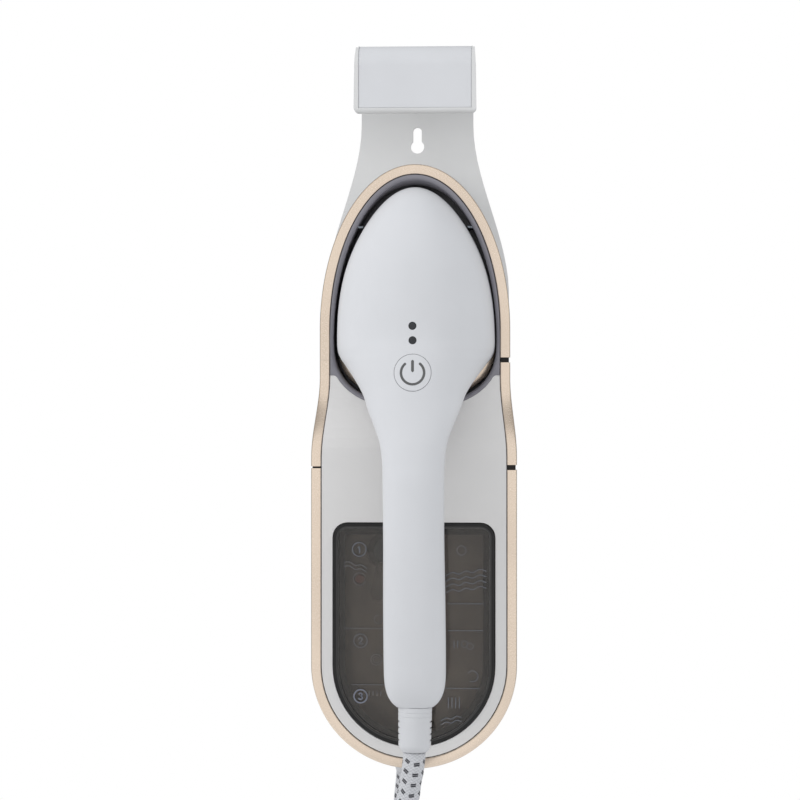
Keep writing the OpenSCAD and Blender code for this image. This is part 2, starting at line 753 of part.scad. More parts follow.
function dome_rows() = [for (i = [0:dome_n - 1])
  let (t = 90 * (1 - (i + 0.3) / (dome_n + 0.3)), up = pow(sin(t), 2 / 1.88))
  [-head_up * up, head_hw * pow(cos(t), 2 / 1.88) * shoulder(t), 0, 0,
   max(4, dome_h * pow(1 - pow(up, 2.4), 1 / 2.4))]];
body_rows = [for (r = smooth(stations, 2)) [r[0], r[1], max(0, r[2]), max(0, r[3]), r[4]]];
function all_rows() = concat(dome_rows(), body_rows);
// The back half starts where the front half leaves the bright rim
function row_at(d) = [d, for (c = [1:4]) lookup(d, [for (r = body_rows) [r[0], r[c]]])];
function deep_rows() = concat([row_at(9.5)], [for (r = body_rows) if (r[0] > 10) r]);
// The same row of the inner surface, one wall further in
function inner_row(row) = row[0] < 0
  ? [row[0] * (1 - iron_t / head_up), row[1] * (1 - iron_t / head_hw), 0, 0, row[4] * (1 - iron_t / dome_h)]
  : [row[0] * (1 - iron_t / 224.8), row[1] - iron_t,
     min(row[2] + iron_t, row[3] - 0.3), row[3], row[4] - iron_t];
half_n = 12;
bulge = 2.3;                           // power of the shells' curved section
// One half section at a row: side 1 is the front half, side -1 the back half
function half_ring(row, side) = [for (i = [0:half_n])
  let (t = 180 * i / half_n, reach = side > 0 ? row[4] - row[3] : row[3] - row[2])
  [row[1] * sgn_pow(cos(t), 2 / bulge),
   -(rim_d + row[3] + side * reach * pow(sin(t), 2 / bulge)),
   cup_z - row[0]]];
function strip(n, m, base, flip) = [for (i = [0:n - 2], k = [0:m - 2])
  let (a = base + i * m + k)
  flip ? [a, a + 1, a + m + 1, a + m] : [a, a + m, a + m + 1, a + 1]];
function fan(m, base, flip) = [[for (k = [0:m - 1]) base + (flip ? m - 1 - k : k)]];
// Half of the iron's body as a closed shell, open towards the other half
module half_shell(rows, side) {
  m = half_n + 1;
  n = len(rows);
  q = n * m;
  front = side > 0;
  rim = concat(
    [for (i = [0:n - 2]) let (a = i * m, b = a + m) front ? [a, a + q, b + q, b] : [a, b, b + q, a + q]],
    [for (i = [0:n - 2]) let (a = i * m + m - 1, b = a + m)
      front ? [a, b, b + q, a + q] : [a, a + q, b + q, b]],
    [front ? [0, m - 1, q + m - 1, q] : [0, q, q + m - 1, m - 1]],
    [let (a = q - m, b = q - 1) front ? [a, a + q, b + q, b] : [a, b, b + q, a + q]]);
  polyhedron(concat([for (r = rows) each half_ring(r, side)],
                    [for (r = rows) each half_ring(inner_row(r), side)]),
    concat(strip(n, m, 0, !front), strip(n, m, q, front), fan(m, 0, !front), fan(m, q - m, front),
           fan(m, q, front), fan(m, 2 * q - m, !front), rim));
}
// Half of the iron's outer body as one solid, for what is flush with it
module body_solid(rows) {
  m = half_n + 1;
  n = len(rows);
  polyhedron([for (r = rows) each half_ring(r, 1)], concat(strip(n, m, 0, false),
    fan(m, 0, false), fan(m, (n - 1) * m, true), [for (i = [0:n - 2]) let (a = i * m)
    [a, a + m - 1, a + 2 * m - 1, a + m]]));
}
button_z = cup_z - 21.2;
led_z = [cup_z + 7.6, cup_z - 1.3];
hinge_z = cup_z - 71;
hinge_d = grip_back + 4.6;
pin_r = 1.5;
button_fit = 0.2;
handle_board_d = dome_d - 12;
board_posts = [[11, cup_z - 4], [-11, cup_z - 4]];
iron_screw_z = [cup_z - 140, cup_z - 195];
module iron_front_shell() {
  color(white) difference() {
    union() {
      half_shell(all_rows(), 1);
      for (p = board_posts) in_depth(handle_board_d + 1.6, dome_d - 1) translate(p) circle(2.5);
      for (z = iron_screw_z) in_depth(grip_d, grip_front - 1.5) translate([0, z]) circle(3.2);
    }
    in_depth(dome_d - 12, grip_front) {
      translate([0, button_z]) circle(button_r + button_fit);
      for (z = led_z) translate([0, z]) circle(led_r + screw_fit);
    }
    for (z = iron_screw_z) in_depth(grip_d - 1, grip_d + 10) translate([0, z]) circle(screw_r + screw_fit);
    translate([0, -grip_d, handle_end - 5]) cylinder(r = hose_d / 2 + 1, h = 12);
  }
}
module iron_rear_shell() {
  color(white) difference() {
    union() {
      half_shell(deep_rows(), -1);
      for (z = iron_screw_z) in_depth(grip_back + 1, grip_d) translate([0, z]) circle(3.2);
      // ears that carry the trigger's pin
      for (side = [-1, 1]) translate([side * 10.5, -hinge_d, hinge_z])
        rotate([0, 90, 0]) cylinder(r = 4, h = 4, center = true);
    }
    translate([-trigger_w / 2 - 0.5, -grip_back - 12, hinge_z - trigger_len - 2])
      cube([trigger_w + 1, 20, trigger_len + 8]);
    translate([0, -hinge_d, hinge_z]) rotate([0, 90, 0])
      cylinder(r = pin_r, h = 40, center = true);
    for (z = iron_screw_z) {
      in_depth(grip_back - 2, grip_d + 1) translate([0, z]) circle(screw_r + 0.2);
      in_depth(grip_back - 2, grip_back + 3) translate([0, z]) circle(head_r + 0.2);
    }
    translate([0, -grip_d, handle_end - 5]) cylinder(r = hose_d / 2 + 1, h = 12);
  }
}
module iron_screws() {
  color(metal) for (z = iron_screw_z) translate([0, 0, z]) {
    in_depth(grip_back + 1, grip_back + 3) circle(head_r);
    in_depth(grip_back + 3 - eps, grip_d + 9) circle(screw_r);
  }
}
shield_d = sole_d + plate_t;
trim_back_d = sole_d + 2 * plate_t;
module soleplate() {
  color(metal) in_depth(sole_d, shield_d) difference() {
    head_outline(-1);
    for (row = [0:4], i = [-row:row]) if ((row + i) % 2 == 0)
      translate([i * 8.5, cup_z + 62 - row * 17]) circle(1.4);
  }
}
module heat_shield() {
  color(black) in_depth(shield_d, trim_back_d) difference() {
    head_outline(-2.5);
    head_outline(-12);
  }
}
module head_trim() {
  color(gold) in_depth(trim_back_d, rim_d) difference() {
    head_outline(-0.3);
    head_outline(-9);
  }
}
module steam_chamber() {
  color(grey) difference() {
    union() {
      in_depth(shield_d, rim_d) head_outline(-13);
      in_depth(rim_d - eps, rim_d + 6) intersection() {
        head_outline(-13);
        translate([-60, cup_z - 8]) square([120, 120]);
      }
      in_depth(rim_d + 6 - eps, rim_d + 12) translate([0, cup_z + 6]) circle(20);
    }
    in_depth(rim_d + 4, rim_d + 20) translate([0, cup_z + 6]) circle(8);
  }
}
module thermostat() {
  color(metal) {
    in_depth(rim_d + 4, rim_d + 14) translate([0, cup_z + 6]) circle(7.8);
    in_depth(rim_d + 14 - eps, rim_d + 18) translate([-6, cup_z + 2]) square([12, 8]);
  }
}
module handle_board() {
  color(green) in_depth(handle_board_d, handle_board_d + 1.6) translate([-15, button_z - 10])
    square([30, 46]);
}
switch_top = handle_board_d + 8;
module button_switch() {
  color(black) difference() {
    in_depth(handle_board_d + 1.6, switch_top) translate([-5, button_z - 5]) square([10, 10]);
    in_depth(switch_top - 3, switch_top + 1) translate([0, button_z]) circle(1.75);
  }
}
module led_lenses() {
  color(black) for (z = led_z) intersection() {
    in_depth(handle_board_d + 1.6, grip_front) translate([0, z]) circle(led_r);
    body_solid(all_rows());
  }
}
cap_back = dome_d - 1.5;               // back of the button's cap
module power_button() {
  color(white) {
    intersection() {
      in_depth(cap_back, grip_front) translate([0, button_z]) circle(button_r);
      body_solid(all_rows());
    }
    in_depth(switch_top + 1, cap_back + eps) translate([0, button_z]) circle(3);
  }
}
module button_plunger() {
  color(grey) in_depth(switch_top - 1.8, switch_top + 1) translate([0, button_z]) circle(1.6);
}
// Trigger: a curved lever in the handle's back, hinged at its top
lever_face = grip_back - 4;
module steam_trigger() {
  z = hinge_z;
  color(grey) difference() {
    union() {
      across(trigger_w) polygon([
        [hinge_d - 2, z + 4], [hinge_d - 5.5, z + 3], [grip_back - 1.6, z - 2], [lever_face, z - 12],
        [lever_face - 0.8, z - 22], [lever_face, z - 34], [grip_back - 1, z - trigger_len + 2],
        [grip_back + 1.4, z - trigger_len], [grip_back + 3, z - trigger_len + 1],
        [grip_back + 3, z - 10], [hinge_d + 2, z - 4]]);
      translate([0, -hinge_d, z]) rotate([0, 90, 0]) cylinder(r = 4, h = trigger_w, center = true);
    }
    translate([0, -hinge_d, z]) rotate([0, 90, 0])
      cylinder(r = pin_r + 0.06, h = trigger_w + 2, center = true);
    // room for the spring
    translate([-3, -hinge_d - 6, z - 6]) cube([6, 12.5, 14]);
  }
}
module trigger_pin() {
  color(metal) translate([0, -hinge_d, hinge_z]) rotate([0, 90, 0])
    cylinder(r = pin_r - 0.01, h = 25, center = true);
}
module trigger_spring() {
  color(metal) translate([0, -hinge_d, hinge_z]) {
    for (x = [-2, -1, 0, 1, 2]) translate([x, 0, 0]) rotate([0, 90, 0])
      rotate_extrude() translate([2.4, 0]) circle(0.52, $fn = 24);
    translate([-2, -2.4, 0]) rotate([0, 0, 0]) cylinder(r = 0.4, h = 5);
  }
}
trigger_switch_d = hinge_d + 6.5;
module trigger_switch() {
  color(black) in_depth(trigger_switch_d, trigger_switch_d + 7) translate([-7, hinge_z - 34])
    square([14, 16]);
}
pipe_r = 2.5;
module steam_pipe() {
  color(clear_blue) tube(smooth([
    [0, -rim_d - 12, cup_z - 9], [0, -rim_d - 15, cup_z - 9.3], [0, -rim_d - 20, cup_z - 12],
    [0, -rim_d - 28, cup_z - 22], [2, -rim_d - 38, cup_z - 36], [6, -rim_d - 52, cup_z - 52],
    [9, -grip_d + 3, cup_z - 66], [10, -grip_d, cup_z - 84], [10, -grip_d, cup_z - 180],
    [7, -grip_d, cup_z - 200], [0, -grip_d, handle_end + 14]], 3),
    pipe_r, 8, [1, 0, 0]);
}
module hose_clamp() {
  color(black) translate([0, -grip_d, handle_end + 5]) difference() {
    cylinder(r = hose_d / 2 + 2, h = 7);
    translate([0, 0, -1]) cylinder(r = hose_d / 2 + 0.15, h = 9);
  }
}
boot_top_r = 10.3;
module hose_boot() {
  color(white) translate([0, -grip_d, handle_end]) rotate([0, boot_lean, 0]) difference() {
    rotate_extrude() polygon([[0, 3], [hose_d / 2 + 0.85, 3], [hose_d / 2 + 0.85, -0.2],
      [boot_top_r, -0.2], [boot_top_r, -3], [boot_top_r - 0.3, -3.3], [boot_top_r, -3.7],
      [boot_top_r, -5.6], [boot_top_r - 0.3, -5.9], [boot_top_r, -6.3],
      [boot_top_r - 0.4, -boot_len + 4], [boot_top_r - 1, -boot_len + 2.2],
      [hose_d / 2 + 1.3, -boot_len + 0.7], [hose_d / 2 + 0.7, -boot_len], [0, -boot_len]]);
    translate([0, 0, -boot_len - 1]) cylinder(r = hose_d / 2 + 0.1, h = boot_len + 6);
    // flex slots down both sides
    for (i = [0:3], side = [-1, 1]) translate([side * 13.2, 0, -9 - i * 3.8])
      cube([8, 30, 1.2], center = true);
  }
}

// ---- hose: from the boot down to a tied coil, and up to the base's gland ----
hose_r = hose_d / 2;
coil_c = [11, -552];                   // the coil's centre as [x, z]
coil_front = -66;                      // y where the hose enters the coil
coil_back = -27;                       // y where it leaves
// End of the boot, with the iron askew and the boot leaning back
boot_x = sin(seat_turn) * (turn_z - handle_end) - sin(boot_lean - seat_turn) * boot_len;
boot_end = turn_z - cos(seat_turn) * (turn_z - handle_end) - cos(boot_lean - seat_turn) * boot_len;
// Route from the boot to the coil
front_route = [
  [boot_x, -98, boot_end - 0.25], [boot_x - 0.1, -98, boot_end - 6],
  [0.7, -98, -391], [-0.8, -97.6, -400], [-2.6, -96.9, -410], [-5.4, -95.8, -421],
  [-9.9, -93.8, -432], [-16, -90.4, -444], [-23.2, -85.6, -456], [-30.6, -80.4, -468],
  [-37.9, -75.2, -480], [-44.8, -70.8, -492], [-51.4, -67.6, -504], [-58, -66, -516]
];
// Route from the coil up to the gland
return_route = [
  [34, -27, -478], [21.8, -26.6, -472.8], [11.6, -25.4, -465.6], [3.2, -23.4, -456.6],
  [-3, -20.6, -446], [-6.8, -17.4, -434.6], [-8, -14.6, -424], [-7.3, -12.6, -414.6],
  [-6.3, -11.7, -407.5], [-6, -11.5, -402], [-6, -11.5, -386]
];
module hose_front_run() {
  color(white) tube(front_route, hose_r, 10, [0, 1, 0.2]);
}
module hose_return_run() {
  color(white) tube(return_route, hose_r, 10, [0, 1, 0.2]);
}
module hose_coil() {
  half = (coil_back - coil_front) / 2;
  color(white) translate([coil_c[0], (coil_front + coil_back) / 2, coil_c[1]])
    rotate([90, 0, 0]) rotate_extrude() translate([coil_r, 0]) {
      square([hose_d, 2 * half], center = true);
      for (side = [-1, 1]) translate([0, side * half]) circle(hose_r);
    }
}
module hose_tie() {
  depth = coil_back - coil_front + hose_d;
  color(black) translate([coil_c[0], (coil_front + coil_back) / 2, coil_c[1] - coil_r])
    difference() {
      cube([12, depth + 3, hose_d + 3.4], center = true);
      cube([13, depth + 0.4, hose_d + 1.2], center = true);
    }
}

rear_shell();
hook_cover();
front_shell();
trim_carrier();
trim_arch();
trim_left();
trim_right();
trim_lower();
dock_bezel();
dock_cup();
dock_pads();
tank_bay();
pump();
pump_cradle();
control_board();
board_parts();
valve_probe();
inlet_seal();
suction_tube();
delivery_tube();
hose_gland();
cord_bush();
shell_screws();
tank_shell();
tank_seal();
tank_lens();
tank_frame();
tank_cap();
tank_clips();
tank_valve();
valve_spring();
valve_poppet();
askew() iron_front_shell();
askew() iron_rear_shell();
askew() head_trim();
askew() soleplate();
askew() heat_shield();
askew() steam_chamber();
askew() thermostat();
askew() handle_board();
askew() button_switch();
askew() led_lenses();
askew() trigger_switch();
askew() steam_pipe();
askew() hose_clamp();
askew() hose_boot();
askew() iron_screws();
askew() power_button();
askew() button_plunger();
askew() steam_trigger();
askew() trigger_spring();
askew() trigger_pin();
hose_front_run();
hose_coil();
hose_return_run();
hose_tie();
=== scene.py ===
# Looks for the wall-hung garment steamer: the camera, the hose and the materials first, then the
# finish of the CAD's own pieces, the iron's lofted shells with the button and lights, the swept
# band, the bezel and the bright rim, the marks on the tank, the seam of the hook's cover, and the
# stage. The scene is in metres in the CAD's frame; sizes and places here are in millimetres, with
# a point as x, depth in front of the wall, z, and put() or seat() turns it into metres.
import math

import bmesh
import bpy
import numpy as np
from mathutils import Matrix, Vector
from mathutils.bvhtree import BVHTree


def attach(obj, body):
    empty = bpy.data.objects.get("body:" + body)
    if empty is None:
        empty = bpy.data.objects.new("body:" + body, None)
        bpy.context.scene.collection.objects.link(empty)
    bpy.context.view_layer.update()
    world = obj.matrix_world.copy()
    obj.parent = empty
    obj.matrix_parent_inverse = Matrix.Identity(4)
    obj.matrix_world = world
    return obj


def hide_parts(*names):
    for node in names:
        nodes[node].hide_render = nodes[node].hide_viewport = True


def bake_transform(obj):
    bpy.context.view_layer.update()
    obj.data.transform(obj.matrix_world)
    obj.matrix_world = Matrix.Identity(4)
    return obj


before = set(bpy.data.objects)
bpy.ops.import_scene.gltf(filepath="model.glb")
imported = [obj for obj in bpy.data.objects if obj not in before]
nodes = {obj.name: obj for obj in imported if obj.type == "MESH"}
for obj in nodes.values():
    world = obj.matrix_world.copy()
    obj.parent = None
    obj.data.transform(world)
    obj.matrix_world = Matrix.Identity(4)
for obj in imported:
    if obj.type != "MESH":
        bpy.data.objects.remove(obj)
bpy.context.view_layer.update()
scene = bpy.context.scene
scene.view_settings.view_transform = "Standard"


def put(x, depth, z):
    """A point in metres from its place in millimetres."""
    return (x * 0.001, -depth * 0.001, z * 0.001)


# ---------------------------------------------------------------- camera
CAM_TURN = math.radians(2.8)                     # it stands a little to the right of the middle
CAM_AWAY, CAM_ASIDE, CAM_Z = 1.6, -0.0115, -0.1641
cam_data = bpy.data.cameras.new("camera")
cam_data.sensor_width = 36
cam_data.lens = 110.8
cam = bpy.data.objects.new("camera", cam_data)
scene.collection.objects.link(cam)
cam.location = (
    CAM_AWAY * math.sin(CAM_TURN) + CAM_ASIDE * math.cos(CAM_TURN),
    -CAM_AWAY * math.cos(CAM_TURN) + CAM_ASIDE * math.sin(CAM_TURN),
    CAM_Z,
)
cam.rotation_euler = (math.radians(90), 0, CAM_TURN)
scene.camera = cam


# ---------------------------------------------------------------- helpers
def link(name, verts, faces, smooth=True):
    """A new mesh object in the scene, its normals turned outwards."""
    mesh = bpy.data.meshes.new(name)
    mesh.from_pydata([tuple(v) for v in verts], [], [tuple(f) for f in faces])
    mesh.validate()
    bm = bmesh.new()
    bm.from_mesh(mesh)
    bmesh.ops.recalc_face_normals(bm, faces=bm.faces)
    bm.to_mesh(mesh)
    bm.free()
    for p in mesh.polygons:
        p.use_smooth = smooth
    obj = bpy.data.objects.new(name, mesh)
    scene.collection.objects.link(obj)
    return obj


def sharpen(obj, angle=35):
    """Smooth shading that keeps edges over the angle sharp."""
    obj.data.set_sharp_from_angle(angle=math.radians(angle))
    return obj


def as_piece(obj, mat, body, replaces=None):
    """Gives a modelled piece its material, the node it stands for and its body."""
    obj.data.materials.append(mat.mat)
    if replaces:
        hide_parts(replaces)
    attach(obj, body)
    return obj


def grid_faces(rows, cols, wrap_rows=False, wrap_cols=False):
    """Quads between the points of a grid given row by row."""
    out = []
    for i in range(rows if wrap_rows else rows - 1):
        for j in range(cols if wrap_cols else cols - 1):
            a, b = i * cols + j, i * cols + (j + 1) % cols
            c, d = ((i + 1) % rows) * cols + (j + 1) % cols, ((i + 1) % rows) * cols + j
            out.append((a, b, c, d))
    return out


def ease(s):
    """Smooth step from 0 to 1."""
    s = np.clip(s, 0, 1)
    return s * s * (3 - 2 * s)


def catmull(points, n):
    """Catmull-Rom through the points, n samples a span, end points reflected."""
    p = np.array(points, float)
    q = np.vstack([2 * p[0] - p[1], p, 2 * p[-1] - p[-2]])
    out = []
    for i in range(1, len(q) - 2):
        for k in range(n):
            t = k / n
            a, b, c, d = q[i - 1], q[i], q[i + 1], q[i + 2]
            out.append(0.5 * (2 * b + (c - a) * t + (2 * a - 5 * b + 4 * c - d) * t * t
                              + (3 * b - a - 3 * c + d) * t ** 3))
    out.append(q[-2])
    return np.array(out)


def resample(points, step):
    """The same line with points at an even distance, and each point's way along it."""
    p = np.array(points, float)
    s = np.concatenate([[0], np.cumsum(np.linalg.norm(np.diff(p, axis=0), axis=1))])
    n = max(2, int(round(s[-1] / step)) + 1)
    at = np.linspace(0, s[-1], n)
    return np.stack([np.interp(at, s, p[:, k]) for k in range(3)], axis=1), at


# ---------------------------------------------------------------- hose route
HOSE_R = 7.0
HOSE_SIDES = 40
FRONT_ROUTE = [
    [2.2, 98, -378.7], [2.1, 98, -384.5], [0.7, 98, -391], [-0.8, 97.6, -400], [-2.6, 96.9, -410],
    [-5.4, 95.8, -421], [-9.9, 93.8, -432], [-16, 90.4, -444], [-23.2, 85.6, -456],
    [-30.6, 80.4, -468], [-37.9, 75.2, -480], [-44.8, 70.8, -492], [-51.4, 67.6, -504],
    [-58, 66, -516]]
RETURN_ROUTE = [
    [34, 27, -478], [21.8, 26.6, -472.8], [11.6, 25.4, -465.6], [3.2, 23.4, -456.6],
    [-3, 20.6, -446], [-6.8, 17.4, -434.6], [-8, 14.6, -424], [-7.3, 12.6, -414.6],
    [-6.3, 11.7, -407.5], [-6, 11.5, -402], [-6, 11.5, -386]]
COIL_C, COIL_R = (11, -552), 78                  # centre as x and z, radius at the hose's middle
COIL_START, COIL_TURN = math.radians(152.4), math.radians(1000.3)
COIL_FRONT, COIL_DEEP = 66, 39                   # depth where the coil starts, and its way to the wall
COIL_STEPS = 360
BEND_REACH, BEND_SIGMA = 36, 12.0                # smoothing of the bends, in half millimetres
BRAID_START = math.radians(108.9)                # angle at which the braid's pattern starts


def hose_line():
    """The hose's middle line from the boot over the coil to the gland, and each point's way along it."""
    front = catmull(FRONT_ROUTE, 12)
    back = catmull(RETURN_ROUTE, 12)
    coil = []
    for i in range(1, COIL_STEPS):
        f = i / COIL_STEPS
        a = COIL_START + COIL_TURN * f
        coil.append([COIL_C[0] + COIL_R * math.cos(a), COIL_FRONT - COIL_DEEP * f,
                     COIL_C[1] + COIL_R * math.sin(a)])
    line, _ = resample(np.vstack([front, coil, back]), 0.5)
    # soften the bends, with both ends carried on so that they stay in place
    k = np.exp(-0.5 * (np.arange(-BEND_REACH, BEND_REACH + 1) / BEND_SIGMA) ** 2)
    k /= k.sum()
    before = line[0] - (line[1] - line[0]) * np.arange(BEND_REACH, 0, -1)[:, None]
    after = line[-1] + (line[-1] - line[-2]) * np.arange(1, BEND_REACH + 1)[:, None]
    longer = np.vstack([before, line, after])
    soft = np.stack([np.convolve(longer[:, c], k, "valid") for c in range(3)], axis=1)
    return resample(soft, 2.0)


def tube_frames(line):
    """Two directions across a line at each of its points, which never twist round it."""
    tan = np.gradient(line, axis=0)
    tan /= np.linalg.norm(tan, axis=1)[:, None]
    side = np.cross(tan[0], [0, 1, 0])
    side /= np.linalg.norm(side)
    sides = []
    for t in tan:
        side = side - t * side.dot(t)
        side /= np.linalg.norm(side)
        sides.append(side.copy())
    sides = np.array(sides)
    return sides, np.cross(tan, sides)


def braid_lumps(rows, n):
    """The braid's slight unevenness, none of it at the hose's two ends."""
    rng = np.random.default_rng(4)
    lumps = rng.normal(0, 1, (rows, n))
    for _ in range(3):
        lumps = (lumps + np.roll(lumps, 1, 1) + np.roll(lumps, -1, 1)) / 3
        lumps[1:-1] = (lumps[1:-1] + lumps[2:] + lumps[:-2]) / 3
    lumps *= 0.17 / lumps.std()
    lumps[:3] = 0
    lumps[-3:] = 0
    return np.clip(lumps, -0.4, 0.4)


def make_hose():
    """The hose with a map along it for the braid, its path in metres and its length."""
    line, at = hose_line()
    side, up = tube_frames(line)
    n = HOSE_SIDES
    ang = np.linspace(0, 2 * math.pi, n, endpoint=False) + BRAID_START
    r = HOSE_R - 0.12 + braid_lumps(len(line), n)
    verts = (line[:, None, :] + r[:, :, None] * (np.cos(ang)[None, :, None] * side[:, None, :]
                                                  + np.sin(ang)[None, :, None] * up[:, None, :]))
    pts = [put(*v) for v in verts.reshape(-1, 3)]
    faces = grid_faces(len(line), n, wrap_cols=True)
    faces.append(tuple(range(n)))
    faces.append(tuple((len(line) - 1) * n + k for k in range(n)))
    obj = link("hose", pts, faces)
    uv = obj.data.uv_layers.new(name="hose")
    for poly in obj.data.polygons:
        cols = [obj.data.loops[k].vertex_index % n for k in poly.loop_indices]
        wraps = poly.loop_total == 4 and max(cols) == n - 1 and min(cols) == 0
        for k, c in zip(poly.loop_indices, cols):
            row = obj.data.loops[k].vertex_index // n
            uv.data[k].uv = ((c + (n if wraps and c == 0 else 0)) / n, at[row] / 100)
    path = [put(*p) for p in line]
    return obj, path, at[-1] * 0.001


hose, hose_path, hose_length = make_hose()
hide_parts("hose_front_run", "hose_coil", "hose_return_run")
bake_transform(hose)


# ---------------------------------------------------------------- shader writing
class Val:
    """A value in a material's node tree: sums and products read as such."""

    def __init__(self, tree, socket):
        self.tree, self.socket = tree, socket

    def op(self, kind, *args):
        node = self.tree.nodes.new("ShaderNodeMath")
        node.operation = kind
        for i, a in enumerate((self,) + args):
            if isinstance(a, Val):
                self.tree.links.new(a.socket, node.inputs[i])
            else:
                node.inputs[i].default_value = a
        return Val(self.tree, node.outputs[0])

    def __add__(self, other):
        return self.op("ADD", other)

    def __sub__(self, other):
        return self.op("SUBTRACT", other)

    def __mul__(self, other):
        return self.op("MULTIPLY", other)

    def __truediv__(self, other):
        return self.op("DIVIDE", other)

    def max(self, other):
        return self.op("MAXIMUM", other)

    def cos(self):
        return self.op("COSINE")

    def floor(self):
        return self.op("FLOOR")

    def fract(self):
        return self.op("FRACT")

    def abs(self):
        return self.op("ABSOLUTE")

    def ramp(self, lo, hi, to0=0.0, to1=1.0):
        """A smooth change from to0 at lo to to1 at hi."""
        node = self.tree.nodes.new("ShaderNodeMapRange")
        node.interpolation_type = "SMOOTHSTEP"
        self.tree.links.new(self.socket, node.inputs[0])
        for i, v in enumerate((lo, hi, to0, to1)):
            node.inputs[i + 1].default_value = v
        return Val(self.tree, node.outputs[0])


class Mat:
    """A principled material with the nodes that the pieces here need."""

    def __init__(self, name, color, rough=0.4, **sockets):
        self.mat = bpy.data.materials.new(name)
        self.mat.use_nodes = True
        self.tree = self.mat.node_tree
        self.bsdf = self.tree.nodes["Principled BSDF"]
        self.color = tuple(color)
        self.set("Base Color", (*color, 1))
        self.set("Roughness", rough)
        for k, v in sockets.items():
            self.set(k.replace("_", " "), v)
        self.mat.diffuse_color = (*color, 1)

    def set(self, socket, value):
        if isinstance(value, Val):
            self.tree.links.new(value.socket, self.bsdf.inputs[socket])
        else:
            self.bsdf.inputs[socket].default_value = value

    def coords(self, kind, stretch=(1, 1, 1)):
        tc = self.tree.nodes.new("ShaderNodeTexCoord")
        if stretch == (1, 1, 1):
            return tc.outputs[kind]
        m = self.tree.nodes.new("ShaderNodeMapping")
        m.inputs["Scale"].default_value = stretch
        self.tree.links.new(tc.outputs[kind], m.inputs[0])
        return m.outputs[0]

    def axis(self, kind, i):
        sep = self.tree.nodes.new("ShaderNodeSeparateXYZ")
        self.tree.links.new(self.coords(kind), sep.inputs[0])
        return Val(self.tree, sep.outputs[i])

    def noise(self, scale, detail=2.0, stretch=(1, 1, 1)):
        n = self.tree.nodes.new("ShaderNodeTexNoise")
        n.inputs["Scale"].default_value = scale
        n.inputs["Detail"].default_value = detail
        self.tree.links.new(self.coords("Object", stretch), n.inputs["Vector"])
        return Val(self.tree, n.outputs[0])

    def mix(self, factor, a, b):
        """Colour between a and b; either may be a Val or three numbers."""
        m = self.tree.nodes.new("ShaderNodeMix")
        m.data_type = "RGBA"
        self.tree.links.new(factor.socket, m.inputs[0])
        for slot, v in ((6, a), (7, b)):
            if isinstance(v, Val):
                self.tree.links.new(v.socket, m.inputs[slot])
            else:
                m.inputs[slot].default_value = (*v, 1)
        return Val(self.tree, m.outputs[2])

    def bump(self, height, strength, distance):
        b = self.tree.nodes.new("ShaderNodeBump")
        b.inputs["Strength"].default_value = strength
        b.inputs["Distance"].default_value = distance
        self.tree.links.new(height.socket, b.inputs["Height"])
        self.set("Normal", Val(self.tree, b.outputs[0]))
        return self

    def vary(self, spread, patch, grain, bump=0.25, distance=0.00004, rough=0.05, stretch=(1, 1, 1)):
        """Tone that changes by the spread from patch to patch, a fine grain with the bump's strength
        and its distance in metres, and a gloss that the grain makes rougher and smoother by rough.
        The patch and the grain are noise scales."""
        slow = self.noise(patch, 3)
        c = np.array(self.color)
        self.set("Base Color", self.mix(slow.ramp(0.3, 0.7), tuple(np.clip(c * (1 - spread), 0, 1)),
                                        tuple(np.clip(c * (1 + spread), 0, 1))))
        fine = self.noise(grain, 3, stretch)
        r = self.bsdf.inputs["Roughness"].default_value
        self.set("Roughness", fine.ramp(0.25, 0.75, max(0.02, r - rough), min(1, r + rough)))
        self.bump(fine, bump, distance)
        return self


def moulded(name, color):
    """The smooth satin plastic of the casings."""
    m = Mat(name, color, 0.5, Specular_IOR_Level=0.35)
    return m.vary(0.012, 28, 2600, 0.2, 0.00003, 0.04)


def printed(name, color, spread=0.05):
    """Ink on plastic."""
    return Mat(name, color, 0.5).vary(spread, 90, 2600, 0.2, 0.00002)


white = moulded("white_plastic", (0.668, 0.673, 0.694))
tint_white = moulded("base_plastic", (0.745, 0.732, 0.722))
shell_white = moulded("shell_plastic", (0.685, 0.684, 0.682))
gold = Mat("gold_plate", (0.92, 0.77, 0.63), 0.24, Metallic=0.85)
gold.vary(0.05, 16, 900, 0.10, 0.00003, 0.05, (1, 1, 12))
gunmetal = Mat("gunmetal_plastic", (0.23, 0.223, 0.25), 0.33).vary(0.05, 40, 2200, 0.2, 0.00003)
black = Mat("black_plastic", (0.014, 0.012, 0.011), 0.42, Specular_IOR_Level=0.25)
black.vary(0.2, 60, 1800, 0.3, 0.00004)
frame_black = Mat("frame_plastic", (0.012, 0.012, 0.012), 0.22, Specular_IOR_Level=0.32)
frame_black.vary(0.2, 60, 1800, 0.15, 0.00002)
grey = Mat("grey_plastic", (0.28, 0.29, 0.31), 0.45).vary(0.04, 50, 2000)
cap_grey = Mat("cap_plastic", (0.10, 0.11, 0.12), 0.4).vary(0.05, 60, 2000)
steel = Mat("steel", (0.55, 0.55, 0.56), 0.32, Metallic=1.0).vary(0.05, 90, 1500, 0.2, 0.00003)
ceramic = Mat("ceramic_plate", (0.42, 0.42, 0.44), 0.28, Metallic=0.7).vary(0.05, 60, 3000, 0.2, 0.00003)
cast = Mat("cast_aluminium", (0.5, 0.5, 0.51), 0.5, Metallic=1.0).vary(0.08, 90, 1200, 0.6, 0.0001)
board = Mat("circuit_board", (0.02, 0.10, 0.04), 0.35).vary(0.15, 300, 900, 0.3, 0.0001)
rubber = Mat("black_rubber", (0.015, 0.015, 0.015), 0.7).vary(0.15, 80, 1500, 0.4, 0.00006)
silicone = Mat("silicone", (0.42, 0.47, 0.52), 0.45).vary(0.05, 80, 900, 0.3, 0.00005)
